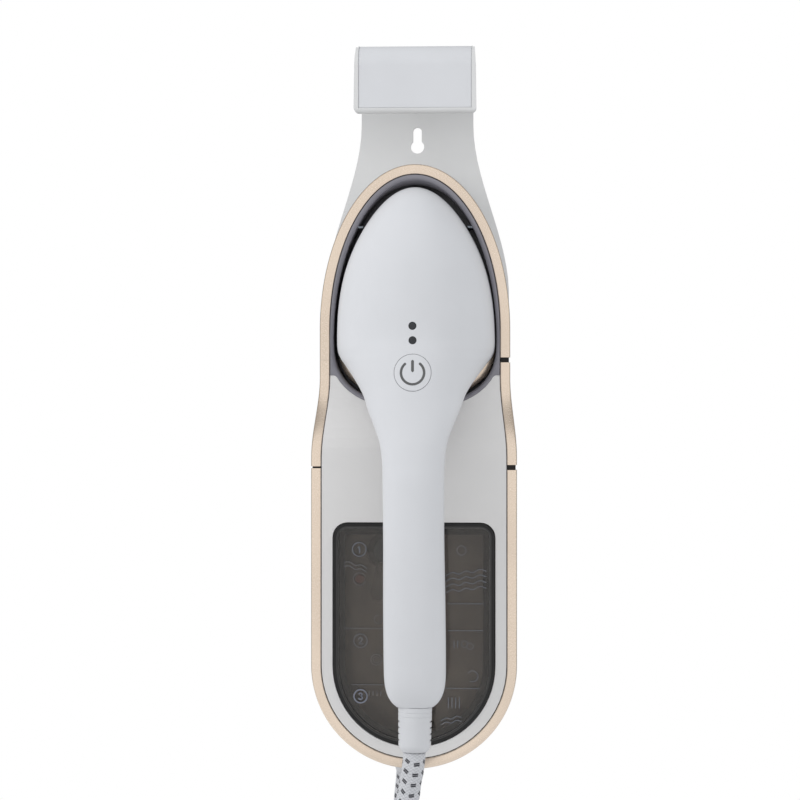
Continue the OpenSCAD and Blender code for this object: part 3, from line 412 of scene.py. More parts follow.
boot_white = Mat("white_rubber", (0.640, 0.645, 0.665), 0.5).vary(0.015, 60, 2400, 0.35, 0.00005)
led_dark = Mat("led_lens", (0.022, 0.024, 0.028), 0.16).vary(0.2, 200, 2000, 0.1, 0.00002, 0.02)
lens_mat = Mat("smoked_lens", (0.68, 0.64, 0.60), 0.04, Transmission_Weight=1.0, IOR=1.46)
lens_mat.vary(0.04, 40, 900, 0.02, 0.00001, 0.015)
tub_mat = Mat("smoked_plastic", (0.62, 0.58, 0.54), 0.15, Transmission_Weight=0.85, IOR=1.4)
tub_mat.vary(0.05, 60, 900, 0.1, 0.00003, 0.04)
# a lighter grey for a painted highlight on the window's edge
edge_highlight_grey = Mat("painted_edge_highlight", (0.105, 0.10, 0.095), 0.3).vary(0.05, 90, 2600, 0.2, 0.00002)
# a lighter grey for a painted highlight on the frame's inner ridge
ridge_highlight_grey = Mat("ridge_highlight_grey", (0.036, 0.035, 0.034), 0.4).vary(0.1, 90, 2400, 0.2, 0.00002)
print_grey = printed("printed_grey", (0.115, 0.115, 0.115))
print_blue = printed("printed_blue", (0.18, 0.19, 0.235))
# a lighter ink; on the marks right of the handle it is painted light, making up for the handle's shadow on
# them
print_lighter = printed("printed_lighter", (0.135, 0.142, 0.165))
print_faint = printed("printed_faint", (0.12, 0.12, 0.128))
print_rose = printed("printed_rose", (0.085, 0.058, 0.05), 0.08)

YARNS = 14                                       # yarns of the braid, each way
DASH_COLUMNS, DASH_PITCH = 7, 6.3                # dark dashes round the hose and along it


def hose_material():
    """A white braid with short dashes of a dark tracer yarn."""
    m = Mat("hose_cover", (0.62, 0.63, 0.66), 0.75)
    u, v = m.axis("UV", 0), m.axis("UV", 1) * 100          # v in millimetres
    # two families of yarns cross each other
    a, b = u * YARNS + v * 0.5, u * YARNS - v * 0.5
    ridge_a = ((a * (2 * math.pi)).cos() * 0.5 + 0.5)
    ridge_b = ((b * (2 * math.pi)).cos() * 0.5 + 0.5)
    over = ((a * 0.5).fract().ramp(0.42, 0.58) - (b * 0.5).fract().ramp(0.42, 0.58)).abs()
    weave = ridge_a * over + ridge_b * (over * -1 + 1)
    fibre = m.noise(2200, 2)
    # the dashes stand in columns, slanted in one and nearly level in the next
    col = u * DASH_COLUMNS
    side = (col * 0.5).floor() * -2 + col.floor()           # 0 and 1 by turns
    cx = (col.fract() - 0.5) * (2 * math.pi * HOSE_R / DASH_COLUMNS)
    cy = (((v - side * 1.5 - 2.0) / DASH_PITCH).fract() - 0.5) * DASH_PITCH
    ca, sa = side * 0.12 + 0.86, side * -0.68 + 0.51
    along = cx * ca + cy * sa
    across = cy * ca - cx * sa
    rag = (m.noise(1500, 2) - 0.5) * 0.9
    dash = (along.abs() + rag).ramp(2.0, 1.6) * (across.abs() + rag * 0.5).ramp(1.15, 0.92)
    # each dash is two strands side by side
    dash = dash * (across + rag * 0.3).abs().ramp(0.05, 0.28, 0.45, 1.0)
    # the braid is coloured darker where the weave lies low: painted shade in the grooves between the yarns
    pale = m.mix(weave.ramp(0.1, 0.9), (0.52, 0.525, 0.55), (0.68, 0.685, 0.71))
    start = v.ramp(3.4, 3.8)                                # plain just under the boot
    m.set("Base Color", m.mix(dash * start, pale, (0.028, 0.028, 0.036)))
    m.set("Roughness", fibre.ramp(0.2, 0.8, 0.62, 0.88))
    m.bsdf.inputs["Sheen Weight"].default_value = 0.15
    m.bump(weave + fibre * 0.4, 0.7, 0.00035)
    return m


hose.data.materials.append(hose_material().mat)


# ---------------------------------------------------------------- CAD nodes
def dress(node, mat, width):
    """A material for a CAD piece, and softly broken edges of the width, in millimetres."""
    obj = nodes[node]
    obj.data.materials.clear()
    obj.data.materials.append(mat.mat)
    for p in obj.data.polygons:
        p.use_smooth = True
    if width:
        w = obj.modifiers.new("weld", "WELD")
        w.merge_threshold = 0.00002
        b = obj.modifiers.new("edges", "BEVEL")
        b.width = width * 0.001
        b.segments = 2
        b.limit_method = "ANGLE"
        b.angle_limit = math.radians(32)
        b.use_clamp_overlap = True
        b.harden_normals = False
        n = obj.modifiers.new("normals", "WEIGHTED_NORMAL")
        n.keep_sharp = False
        n.weight = 100


for name, mat, width in [
        ("rear_shell", shell_white, 0.5), ("front_shell", tint_white, 0.5), ("hook_cover", white, 0.3),
        ("trim_carrier", black, 0), ("dock_cup", gunmetal, 0.3), ("dock_pads", silicone, 0.2),
        ("tank_bay", tint_white, 0), ("pump", steel, 0), ("pump_cradle", rubber, 0),
        ("control_board", board, 0), ("board_parts", black, 0), ("valve_probe", grey, 0),
        ("inlet_seal", rubber, 0), ("suction_tube", silicone, 0), ("delivery_tube", silicone, 0),
        ("hose_gland", boot_white, 0.4), ("cord_bush", rubber, 0.4), ("shell_screws", steel, 0.1),
        ("tank_shell", tub_mat, 0.2), ("tank_seal", rubber, 0), ("tank_lens", lens_mat, 0.4),
        ("tank_frame", frame_black, 0.3), ("tank_cap", cap_grey, 0.3), ("tank_clips", black, 0.3),
        ("tank_valve", grey, 0.2), ("valve_spring", steel, 0), ("valve_poppet", rubber, 0),
        ("soleplate", ceramic, 0.5), ("heat_shield", black, 0.2), ("steam_chamber", cast, 0),
        ("thermostat", steel, 0), ("handle_board", board, 0), ("button_switch", black, 0),
        ("trigger_switch", black, 0), ("steam_pipe", silicone, 0), ("hose_clamp", black, 0.2),
        ("hose_boot", boot_white, 0.3), ("iron_screws", steel, 0.1), ("trigger_pin", steel, 0),
        ("button_plunger", grey, 0), ("steam_trigger", grey, 0.5), ("trigger_spring", steel, 0),
        ("hose_tie", rubber, 0.5)]:
    dress(name, mat, width)


# ---------------------------------------------------------------- iron shells
RIM_D = 32.0                                     # depth of the plane where the rim meets the shells
CUP_Z = -126.2                                   # height of the head's and the recess's widest line
SEAT_TURN, TURN_Z = math.radians(0.5), CUP_Z + 66   # the docked iron stands a little askew
HEAD_HW, HEAD_UP, HEAD_DOWN, HEAD_D = 50.4, 97.3, 37.0, 58.0
HEAD_P, HEEL_P, DOME_P = 1.88, 2.5, 2.4          # how square the oval is above and below, and the dome
BULGE = 2.3                                      # how square the handle's section is


def seat(x, depth, z):
    """A point of the iron, upright in its own frame, as it stands in the dock."""
    c, s = math.cos(SEAT_TURN), math.sin(SEAT_TURN)
    return put(x * c - (z - TURN_Z) * s, depth, TURN_Z + x * s + (z - TURN_Z) * c)


# rows of drop under the widest line, half width, back, split and front, the last three over RIM_D
STATIONS = [
    [0, 50.4, 0, 0, 58], [8.5, 49.6, 0, 0, 60], [16, 44.2, 0.5, 11, 61.5], [24, 38.4, 4, 23, 63],
    [34, 32.2, 13, 36, 65], [44, 28.5, 24, 46, 67.5], [54, 24.4, 34, 53, 70.5],
    [64, 20.9, 42, 58, 73.5], [76, 19.2, 47.5, 62, 76.5], [90, 18.8, 50, 65, 79.5],
    [124, 18.65, 50, 66, 82.5], [164, 19, 50, 66, 83], [198, 19, 50, 66, 82],
    [209.8, 18.6, 50.5, 66, 81], [216.8, 17.2, 52, 66, 79.5], [221.8, 14.6, 54.5, 66, 77.5],
    [224.8, 11.5, 56, 66, 76]]


def shoulder(t):
    """The head's outline bulges a little between its tip and its widest line."""
    return 1 + 0.045 * math.sin(2 * t) ** 2 * math.cos(2 * t)


def iron_rows():
    """Rows of [drop, half width, back, split, front], from the dome's tip to the handle's end."""
    dome, n = [], 44
    for i in range(n):
        t = math.radians(90 * (1 - (i + 0.12) / n))
        up = math.sin(t) ** (2 / HEAD_P)
        dome.append([-HEAD_UP * up, HEAD_HW * math.cos(t) ** (2 / HEAD_P) * shoulder(t), 0, 0,
                     max(1.5, HEAD_D * (1 - up ** DOME_P) ** (1 / DOME_P))])
    body = catmull(STATIONS, 6)
    body[:, 2:4] = np.maximum(body[:, 2:4], 0)
    rows = np.vstack([dome, body])
    # take the small kink out of the widest line
    near = np.abs(rows[:, 0]) < 12
    for _ in range(5):
        mid = rows.copy()
        for c in (1, 4):
            d0, d1 = rows[1:-1, 0] - rows[:-2, 0], rows[2:, 0] - rows[1:-1, 0]
            mid[1:-1, c] = (rows[:-2, c] * d1 + rows[2:, c] * d0) / (d0 + d1)
            rows[:, c] = np.where(near, 0.5 * rows[:, c] + 0.5 * mid[:, c], rows[:, c])
    return rows


ROWS = iron_rows()


def ring_points(row, side, n):
    """One arched row of a half shell, front for side 1 and back for side -1."""
    drop, hw, back, split, front = row
    t = np.linspace(0, math.pi, n)
    reach = front - split if side > 0 else split - back
    c, s = np.cos(t), np.sin(t)
    x = hw * np.sign(c) * np.abs(c) ** (2 / BULGE)
    d = RIM_D + split + side * (0.12 + np.maximum(reach - 0.12, 0.01) * np.maximum(s, 0) ** (2 / BULGE))
    return np.stack([x, d, np.full(n, CUP_Z - drop)], axis=1)


def front_depth(x, z):
    """Depth of the iron's front surface over a point, to lay marks and the button on it."""
    drop = CUP_Z - z
    hw, split, front = (np.interp(drop, ROWS[:, 0], ROWS[:, k]) for k in (1, 3, 4))
    return RIM_D + split + (front - split) * (1 - np.clip(np.abs(x) / hw, 0, 1) ** BULGE) ** (1 / BULGE)


def shell(name, side, rows, n=73, wall=2.2):
    """A half shell as a closed solid: outer skin, inner skin a wall further in, and the rim."""
    outer = np.array([ring_points(r, side, n) for r in rows])
    m = len(rows)
    du = np.gradient(outer, axis=1)
    dv = np.gradient(outer, axis=0)
    nrm = np.cross(du, dv)
    nrm /= np.maximum(np.linalg.norm(nrm, axis=2)[:, :, None], 1e-9)
    inner = outer.copy()
    for i, r in enumerate(rows):
        hw_in = max(r[1] - wall, r[1] * 0.5)
        mid = RIM_D + r[3]
        inner[i, :, 0] = outer[i, :, 0] * hw_in / r[1]
        inner[i, :, 1] = mid + (outer[i, :, 1] - mid) * max(0.3, 1 - wall / max(abs(
            (r[4] if side > 0 else r[2]) - r[3]), 0.1))
    inner[0, :, 2] -= 1.5                        # the inner skin stops short of both ends
    inner[-1, :, 2] += 2.2
    pts = [seat(*p) for p in outer.reshape(-1, 3)] + [seat(*p) for p in inner.reshape(-1, 3)]
    faces = grid_faces(m, n)
    k = m * n
    faces += [tuple(k + v for v in reversed(f)) for f in grid_faces(m, n)]
    for i in range(m - 1):                       # the two long rims
        faces.append((i * n, (i + 1) * n, k + (i + 1) * n, k + i * n))
        faces.append((i * n + n - 1, k + i * n + n - 1, k + (i + 1) * n + n - 1, (i + 1) * n + n - 1))
    for j in range(n - 1):                       # the ends
        faces.append((j, k + j, k + j + 1, j + 1))
        e = (m - 1) * n
        faces.append((e + j, e + j + 1, k + e + j + 1, k + e + j))
    return link(name, pts, faces)


def apply_modifiers(obj):
    """Works the object's modifiers into its mesh."""
    deps = bpy.context.evaluated_depsgraph_get()
    mesh = bpy.data.meshes.new_from_object(obj.evaluated_get(deps))
    obj.modifiers.clear()
    old = obj.data
    obj.data = mesh
    bpy.data.meshes.remove(old)


def drill(obj, cutters):
    """Cuts the cutters out of the object and removes them."""
    for c in cutters:
        b = obj.modifiers.new("hole", "BOOLEAN")
        b.operation, b.solver, b.object = "DIFFERENCE", "EXACT", c
    apply_modifiers(obj)
    for c in cutters:
        bpy.data.objects.remove(c)


def bore(name, z, r, n=64):
    """A round bar through the iron's front on its middle line, to cut a hole with."""
    pts = [seat(r * math.cos(2 * math.pi * k / n), d, z + r * math.sin(2 * math.pi * k / n))
           for d in (60, 130) for k in range(n)]
    faces = grid_faces(2, n, wrap_cols=True) + [tuple(range(n)), tuple(range(n, 2 * n))]
    return link(name, pts, faces, smooth=False)


def borrow_normals(obj, like):
    """Where obj's faces lie on the loft, they take the loft's smooth normals."""
    src = like.data
    tree = BVHTree.FromPolygons([v.co for v in src.vertices], [p.vertices[:] for p in src.polygons])
    vn = [v.normal.copy() for v in src.vertices]
    mesh = obj.data
    out = []
    for poly in mesh.polygons:
        for li in poly.loop_indices:
            co = mesh.vertices[mesh.loops[li].vertex_index].co
            hit, normal, index, dist = tree.find_nearest(co)
            if index is None or dist > 0.00003 or abs(normal.dot(poly.normal)) < 0.9:
                out.append(poly.normal.copy())
                continue
            ids = src.polygons[index].vertices
            w = [1 / max((src.vertices[i].co - hit).length, 1e-7) ** 2 for i in ids]
            n = sum((vn[i] * wi for i, wi in zip(ids, w)), Vector())
            out.append(n.normalized())
    mesh.normals_split_custom_set(out)


BUTTON_Z, BUTTON_R = -147.4, 11.35
LED_Z, LED_R = (-118.6, -127.5), 2.4
HEEL_START = 9.4                                 # the back shell starts this far under the widest line
CAP_BACK_D = 86                                  # depth that the button's and the lights' walls reach
front = shell("iron_front", 1, ROWS)
back = shell("iron_back", -1, ROWS[ROWS[:, 0] > HEEL_START])
plain = shell("loft", 1, ROWS)
drill(front, [bore("button_hole", BUTTON_Z, BUTTON_R + 0.2)]
      + [bore("led_hole", z, LED_R + 0.1) for z in LED_Z])
for p in front.data.polygons:
    p.use_smooth = True
borrow_normals(front, plain)
bpy.data.objects.remove(plain)
as_piece(front, white, "iron", "iron_front_shell")
as_piece(sharpen(back, 40), white, "iron", "iron_rear_shell")


# ---------------------------------------------------------------- button, symbol and lights
def disc(name, z0, r, sink, crown=0.0, edge=0.35, n=96):
    """A cap whose face follows the iron's front, with a rounded edge and a wall going back."""
    radii = list(np.linspace(0, r - edge, 14)[1:]) + [r - edge * (1 - math.sin(a)) for a in
                                                       np.linspace(0.3, math.pi / 2, 5)]
    pts = [seat(0, front_depth(0, z0) - sink + crown, z0)]
    for rr in radii:
        dip = edge - math.sqrt(max(edge ** 2 - max(rr - (r - edge), 0) ** 2, 0))
        for k in range(n):
            a = 2 * math.pi * k / n
            x, z = rr * math.cos(a), z0 + rr * math.sin(a)
            pts.append(seat(x, front_depth(x, z) - sink - dip + crown * (1 - (rr / r) ** 2), z))
    for k in range(n):
        a = 2 * math.pi * k / n
        pts.append(seat(r * math.cos(a), CAP_BACK_D, z0 + r * math.sin(a)))
    faces = [(0, 1 + k, 1 + (k + 1) % n) for k in range(n)]
    faces += [tuple(1 + v for v in f) for f in grid_faces(len(radii) + 1, n, wrap_cols=True)]
    faces.append(tuple(1 + len(radii) * n + k for k in range(n)))
    return sharpen(link(name, pts, faces), 50)


as_piece(disc("button_cap", BUTTON_Z, BUTTON_R, 0.05), white, "button", "power_button")


def strip_on_front(name, loops, lift):
    """A thin printed mark on the iron's front: each loop is the two rows of a line's edges."""
    pts, faces = [], []
    for left, right in loops:
        base = len(pts)
        for (x0, z0), (x1, z1) in zip(left, right):
            for f in (0, 0.5, 1):
                x, z = x0 + (x1 - x0) * f, z0 + (z1 - z0) * f
                pts.append(seat(x, front_depth(x, z) + lift, z))
        faces += [tuple(base + v for v in f) for f in grid_faces(len(left), 3)]
    return link(name, pts, faces)


def power_mark():
    """The plain standby sign: a ring open at the top, with a short bar in the gap."""
    ring_r, half_w, gap, n = 7.1, 0.75, 35, 64
    arc_l, arc_r = [], []
    for k in range(n + 1):
        a = math.radians(90 + gap + (360 - 2 * gap) * k / n)
        taper = min(1, 0.72 + 0.28 * min(k, n - k))
        for row, r in ((arc_l, ring_r - half_w * taper), (arc_r, ring_r + half_w * taper)):
            row.append((math.cos(a) * r, BUTTON_Z + math.sin(a) * r))
    bar_low, bar_h, bar_n = 0.3, 7.6, 12
    bar_l, bar_r = [], []
    for k in range(bar_n + 1):
        z = BUTTON_Z + bar_low + bar_h * k / bar_n
        end = min(k, bar_n - k) * bar_h / bar_n
        w = 0.78 * math.sqrt(max(0, 1 - (1 - min(1, end / 0.7)) ** 2)) + 0.08
        bar_l.append((-w, z))
        bar_r.append((w, z))
    return strip_on_front("power_mark", [(arc_l, arc_r), (bar_l, bar_r)], 0.02)


as_piece(power_mark(), print_grey, "button")
for name, z, node in (("led_1", LED_Z[0], "led_lenses"), ("led_2", LED_Z[1], None)):
    as_piece(disc(name, z, LED_R, 0.12, crown=0.25, edge=0.3, n=40), led_dark, "iron", node)


# ---------------------------------------------------------------- outlines of the base
ARCH_Z, ARCH_HW, ARCH_H = -119.5, 60.2, 104.5     # the elliptic arch over the dock
STEP_TOP, STEP_H = -150.0, 50.0                  # the swell between the dock and the tank part
BASE_HW, FOOT_Z = 64.5, -330.5                   # the tank part and the centre of its round foot
DOCK_D, STEP_D = 44, 14                          # the dock's depth, and how far the swell comes forward
JOINT_HI, JOINT_LO = -138.8, -206.3              # the two heights where the band is cut
CORE_IN = 6.6                                    # from the base's edge to what the band surrounds


def base_depth(z):
    """Depth of the base's front surface at a height."""
    return DOCK_D + STEP_D * ease((STEP_TOP - np.asarray(z, float)) / STEP_H)


def base_side():
    """The base's outline on the right, from the arch's top down: x, z and the outward normal."""
    rows = [(ARCH_HW * math.cos(t), ARCH_Z + ARCH_H * math.sin(t),
             math.cos(t) / ARCH_HW, math.sin(t) / ARCH_H) for t in np.radians(np.linspace(90, 0, 120))]
    rows += [(ARCH_HW, z, 1, 0) for z in np.linspace(ARCH_Z, STEP_TOP, 12)[1:]]
    rows += [(ARCH_HW + (BASE_HW - ARCH_HW) * ease(s), STEP_TOP - STEP_H * s, STEP_H,
              (BASE_HW - ARCH_HW) * 6 * s * (1 - s)) for s in np.linspace(0, 1, 44)[1:]]
    rows += [(BASE_HW, z, 1, 0) for z in np.linspace(STEP_TOP - STEP_H, FOOT_Z, 40)[1:]]
    rows += [(BASE_HW * math.cos(a), FOOT_Z + BASE_HW * math.sin(a), math.cos(a), math.sin(a))
             for a in np.radians(np.linspace(0, -90, 90))[1:]]
    rows = np.array(rows)
    rows[:, 2:] /= np.linalg.norm(rows[:, 2:], axis=1)[:, None]
    return rows


SIDE = base_side()


def side_between(high, low, left=False):
    """The stretch of the outline between two heights, top first, on the right or on the left."""
    zs = SIDE[:, 1]
    rows = [r for r in SIDE if low < r[1] < high]
    for z, at in ((high, 0), (low, len(rows) + 1)):
        if zs[-1] < z < zs[0]:
            rows.insert(at, [np.interp(-z, -zs, SIDE[:, k]) for k in range(4)])
    rows = np.array(rows)
    if left:
        rows = rows * [-1, 1, -1, 1]
    return rows


def arc(cx, cy, r, a0, a1, n):
    """Points of an arc between two angles in degrees."""
    return [(cx + r * math.cos(math.radians(a0 + (a1 - a0) * i / n)),
             cy + r * math.sin(math.radians(a0 + (a1 - a0) * i / n))) for i in range(n + 1)]


# section of the band as (distance in from the edge, height over the front surface)
BAND = ([(0, -9), (0, -5), (0, -1.2)] + arc(0.9, -0.38, 0.9, 180, 96, 6)
        + [(2.0, 0.62), (3.1, 0.68), (4.2, 0.62)] + arc(5.45, -0.2, 0.75, 84, 0, 6)
        + [(6.2, -0.6), (0.8, -0.6), (0.8, -9)])


def band_piece(name, rows, node):
    """The band's section swept along rows of the base's outline, closed at both ends."""
    pts = []
    for x, z, nx, nz in rows:
        for u, h in BAND:
            pz = z - nz * u
            pts.append(put(x - nx * u, float(base_depth(pz)) + h, pz))
    n = len(BAND)
    faces = grid_faces(len(rows), n, wrap_cols=True)
    faces += [tuple(range(n)), tuple((len(rows) - 1) * n + k for k in range(n))]
    as_piece(sharpen(link(name, pts, faces), 50), gold, "base", node)


# the joints on the right are wider than those on the left
NARROW_HI, NARROW_LO, WIDE = 0.05, 0.6, 1.6
band_piece("band_arch", np.vstack([side_between(0, JOINT_HI + NARROW_HI, True)[::-1],
                                   side_between(0, JOINT_HI + WIDE)[1:]]), "trim_arch")
band_piece("band_left", side_between(JOINT_HI - NARROW_HI, JOINT_LO + NARROW_LO, True), "trim_left")
band_piece("band_right", side_between(JOINT_HI - WIDE, JOINT_LO + WIDE), "trim_right")
band_piece("band_foot", np.vstack([side_between(JOINT_LO - NARROW_LO, -400, True),
                                   side_between(JOINT_LO - WIDE, -400)[::-1][1:]]), "trim_lower")


# ---------------------------------------------------------------- dark bezel round the recess
CUP_HW, CUP_UP, CUP_DOWN = 51.6, 101.1, 40.1      # the recess's oval
WING_Z = -148.4                                  # lower edge of the bezel's two wings
RING_W, BLEND = 3.0, 2.2                         # the ring's width, and the hollow between ring and wing


def oval_point(t, a, up, down, p_up, p_down):
    """Point and outward normal of a closed oval, t going round from the top."""
    c, s = math.sin(t), math.cos(t)
    b, p = (up, p_up) if s >= 0 else (down, p_down)
    x, z = a * math.copysign(abs(c) ** (2 / p), c), b * math.copysign(abs(s) ** (2 / p), s)
    nx, nz = math.copysign(abs(c) ** (2 - 2 / p), c) / a, math.copysign(abs(s) ** (2 - 2 / p), s) / b
    k = math.hypot(nx, nz)
    return x, CUP_Z + z, nx / k, nz / k


def bezel_reach(x, z, nx, nz):
    """How far the bezel goes out from the recess's edge along a normal."""
    step = 0.05
    s = np.arange(0.4, 26, step)
    px, pz = np.abs(x + nx * s), z + nz * s
    edge = np.min(np.hypot(px[:, None] - SIDE[None, :, 0], pz[:, None] - SIDE[None, :, 1]), axis=1)
    ring, wing = s - RING_W, WING_Z - pz
    h = np.clip(0.5 + 0.5 * (wing - ring) / BLEND, 0, 1)
    both = wing + (ring - wing) * h - BLEND * h * (1 - h)
    out = np.maximum(CORE_IN - edge, both)
    i = int(np.argmax(out > 0))
    if i == 0:
        return float(s[0])
    return float(s[i - 1] + step * out[i - 1] / (out[i - 1] - out[i]))


def bezel_section(reach, nz):
    """The bezel's section as (distance out from the recess's edge, height over the front surface)."""
    lean = 2.4 * max(0.0, nz) ** 3               # its inner wall leans in at the top
    wide, tight = 2.1, 0.5                       # roundings at the recess and at the outer edge
    return ([(-lean, -9), (-lean, -8.6), (-lean * 0.15, -2.6)]
            + [(wide + u, -1.8 + h) for u, h in arc(0, 0, wide, 180, 90, 8)]
            + [(wide + (reach - wide - tight) * 0.5, 0.3)]
            + [(reach - tight + u, -0.2 + h) for u, h in arc(0, 0, tight, 90, 0, 4)] + [(reach, -2.8)])


def make_bezel():
    """The dark ring round the recess, which widens into two wings at its foot."""
    n = 720
    pts = []
    for k in range(n):
        x, z, nx, nz = oval_point(2 * math.pi * (k + 0.5) / n, CUP_HW, CUP_UP, CUP_DOWN, 2, 2.5)
        for u, h in bezel_section(bezel_reach(x, z, nx, nz), nz):
            pz = z + nz * u
            pts.append(put(x + nx * u, float(base_depth(pz)) + h, pz))
    faces = grid_faces(n, len(pts) // n, wrap_rows=True, wrap_cols=True)
    as_piece(sharpen(link("bezel", pts, faces), 50), gunmetal, "base", "dock_bezel")


make_bezel()


# ---------------------------------------------------------------- bright rim of the iron
def make_rim():
    """The plated ring under the iron's shells, well rounded towards the soleplate's edge."""
    n, r = 360, 0.8
    # as (distance out from the head's edge, depth)
    section = ([(-9, 28), (-9, 32), (-3.2, 31.95)]
               + [(0.2 - r + u, 31.2 - r + h) for u, h in arc(0, 0, r, 76, 0, 6)] + [(0.2, 28)])
    pts = []
    for k in range(n):
        t = 2 * math.pi * (k + 0.5) / n
        for off, depth in section:
            x, z, _, _ = oval_point(t, HEAD_HW + off, HEAD_UP + off, HEAD_DOWN + off, HEAD_P, HEEL_P)
            if z > CUP_Z:
                x *= shoulder(math.pi / 2 - min(t, 2 * math.pi - t))
            pts.append(seat(x, depth, z))
    faces = grid_faces(n, len(section), wrap_rows=True, wrap_cols=True)
    as_piece(sharpen(link("iron_rim", pts, faces), 50), gold, "iron", "head_trim")


make_rim()


# ---------------------------------------------------------------- marks on the tank
LENS_D, FRAME_D, BEHIND_D = 57.4, 58.6, 52.0      # depths of the lens's face, the frame's, and inside
MARK_UP, MARK_T = 0.02, 0.04                     # how far a mark stands out, and its thickness


def stroke(points, width, smooth=True):
    """A line of even width as the two rows of its edges, narrowed at its ends."""
    line = np.array(points, float)
    if smooth and len(points) > 2:
        line = catmull([(x, 0, z) for x, z in points], 8)[:, [0, 2]]
    tan = np.gradient(line, axis=0)
    tan /= np.linalg.norm(tan, axis=1)[:, None]
    nrm = np.stack([-tan[:, 1], tan[:, 0]], axis=1) * width / 2
    head = [line[0] - tan[0] * width / 2, line[-1] + tan[-1] * width / 2]
    left = [head[0] + nrm[0] * 0.4, *(line + nrm), head[1] + nrm[-1] * 0.4]
    right = [head[0] - nrm[0] * 0.4, *(line - nrm), head[1] - nrm[-1] * 0.4]
    return left, right


def ring(cx, cz, r, width, a0=0, a1=360, n=48):
    """A ring, or a part of one, as the two rows of its edges."""
    a = [math.radians(a0 + (a1 - a0) * i / n) for i in range(n + 1)]
    return ([(cx + (r - width / 2) * math.cos(t), cz + (r - width / 2) * math.sin(t)) for t in a],
            [(cx + (r + width / 2) * math.cos(t), cz + (r + width / 2) * math.sin(t)) for t in a])


def marks(name, strokes, mat, depth=LENS_D):
    """Thin raised strips on the tank's window, or at another depth of the tank."""
    pts, faces = [], []
    for left, right in strokes:
        base, n = len(pts), len(left)
        for d in (depth + MARK_UP - MARK_T, depth + MARK_UP):
            for (x0, z0), (x1, z1) in zip(left, right):
                pts += [put(x0, d, z0), put(x1, d, z1)]
        faces += [tuple(base + v for v in f) for f in grid_faces(n, 2)]
        faces += [tuple(base + 2 * n + v for v in f) for f in grid_faces(n, 2)]
        for i in range(n - 1):
            for k in (0, 1):
                a, b = base + 2 * i + k, base + 2 * i + 2 + k
                faces.append((a, b, b + 2 * n, a + 2 * n))
    as_piece(link(name, pts, faces, smooth=False), mat, "tank")


def numbered(name, x, z, digit, ring_r, ring_w, width, mat):
    """A plain number in a circle."""
    strokes = [stroke([(x + px, z + pz) for px, pz in line], width, digit != ONE) for line in digit]
    marks(name, [ring(x, z, ring_r, ring_w)] + strokes, mat)


ONE = [[(-0.75, 1.15), (0.25, 1.95), (0.25, -1.95)]]
TWO = [[(-1.1, 0.95), (-0.8, 1.7), (0, 1.95), (0.85, 1.65), (1.05, 0.9), (0.55, 0.0), (-1.1, -1.85)],
       [(-1.15, -1.9), (1.25, -1.9)]]
THREE = [[(-1.05, 1.45), (-0.4, 1.95), (0.55, 1.8), (0.95, 1.05), (0.5, 0.35), (-0.2, 0.15)],
         [(-0.2, 0.15), (0.7, -0.1), (1.15, -0.95), (0.65, -1.75), (-0.3, -1.95), (-1.15, -1.4)]]
numbered("mark_3", -33.5, -349.9, THREE, 4.1, 0.9, 0.8, print_blue)
numbered("mark_1", -34.3, -257.8, ONE, 4.3, 0.6, 0.9, print_lighter)
numbered("mark_2", -33.5, -315.1, TWO, 4.2, 0.6, 0.75, print_faint)

lines = [[(-43.9, -307.2), (-17, -307.2)], [(-38.9, -342.6), (-16, -342.6)],
         [(21.5, -308.4), (43.5, -308.4)], [(19, -344.6), (41.3, -344.6)], [(21.4, -291.6), (44, -291.6)]]


def wave(x, z, n, step, rise, up, down):
    """A wavy line of n points, each a step and a rise further, by turns lower and higher."""
    return [(x + step * i, z + rise * i + (up if i % 2 else down)) for i in range(n)]


# waves for water, bars for steam, an open ring for turning: plain generic signs
waves = [wave(20, z, 7, 4.2, 0.5, 0.9, -0.6) for z in (-273.5, -277.0, -280.6, -284.2)]
waves += [wave(-44, z, 5, 3.6, -0.9, 0.7, -0.5) for z in (-265.5, -268.0)]
waves += [wave(17, z, 5, 3.2, 0.55, 0.7, -0.5) for z in (-364.5, -367.0)]
bars = [[(x, -350.5), (x, -357.0)] for x in (21.6, 23.9, 26.2, 28.5)]
bars += [[(x, -346.8), (x, -349.4)] for x in (-28.0, -25.6, -23.2, -20.8)]
bars += [[(x, -315.0), (x, -319.2)] for x in (25.2, 27.4)]
rings = [ring(-23.6, -326.9, 3.4, 0.35), ring(-23.6, -326.9, 1.9, 0.3, 40, 320),
         ring(29.8, -258.3, 2.9, 0.3), ring(36.7, -337.0, 3.4, 0.4, -120, 150),
         ring(31.7, -316.9, 2.0, 0.3), ring(35.2, -318.2, 2.0, 0.3), ring(-22.4, -301.5, 2.6, 0.3)]
marks("marks_lines", [stroke(p, 0.42, False) for p in lines[:2]], print_faint)
# the marks right of the handle take the lighter ink: painted light against the handle's shadow
marks("marks_lines_right", [stroke(p, 0.42, False) for p in lines[2:]], print_lighter)
for name, side, mat in (("marks_left", -1, print_faint), ("marks_right", 1, print_lighter)):
    marks(name, [stroke(p, 0.5) for p in waves if side * p[0][0] > 0]
          + [stroke(p, 0.5, False) for p in bars if side * p[0][0] > 0]
          + [r for r in rings if side * r[0][0][0] > 0], mat)
# a reddish oval patch in an open ring
PATCH_X, PATCH_Z = -34, -276.4
sweep = np.linspace(0.05, 3.09, 16)
marks("mark_patch", [tuple([(PATCH_X + side * 2.9 * math.sin(a), PATCH_Z + 2.5 * math.cos(a)) for a in sweep]
                           for side in (-1, 1))], print_rose)
marks("mark_frame", [ring(PATCH_X, PATCH_Z, 3.9, 0.35, 20, 340)], print_faint)

WIN_HW, WIN_TOP, WIN_R = 50.7, -241.2, 9.0       # the window: half width, top and upper corners


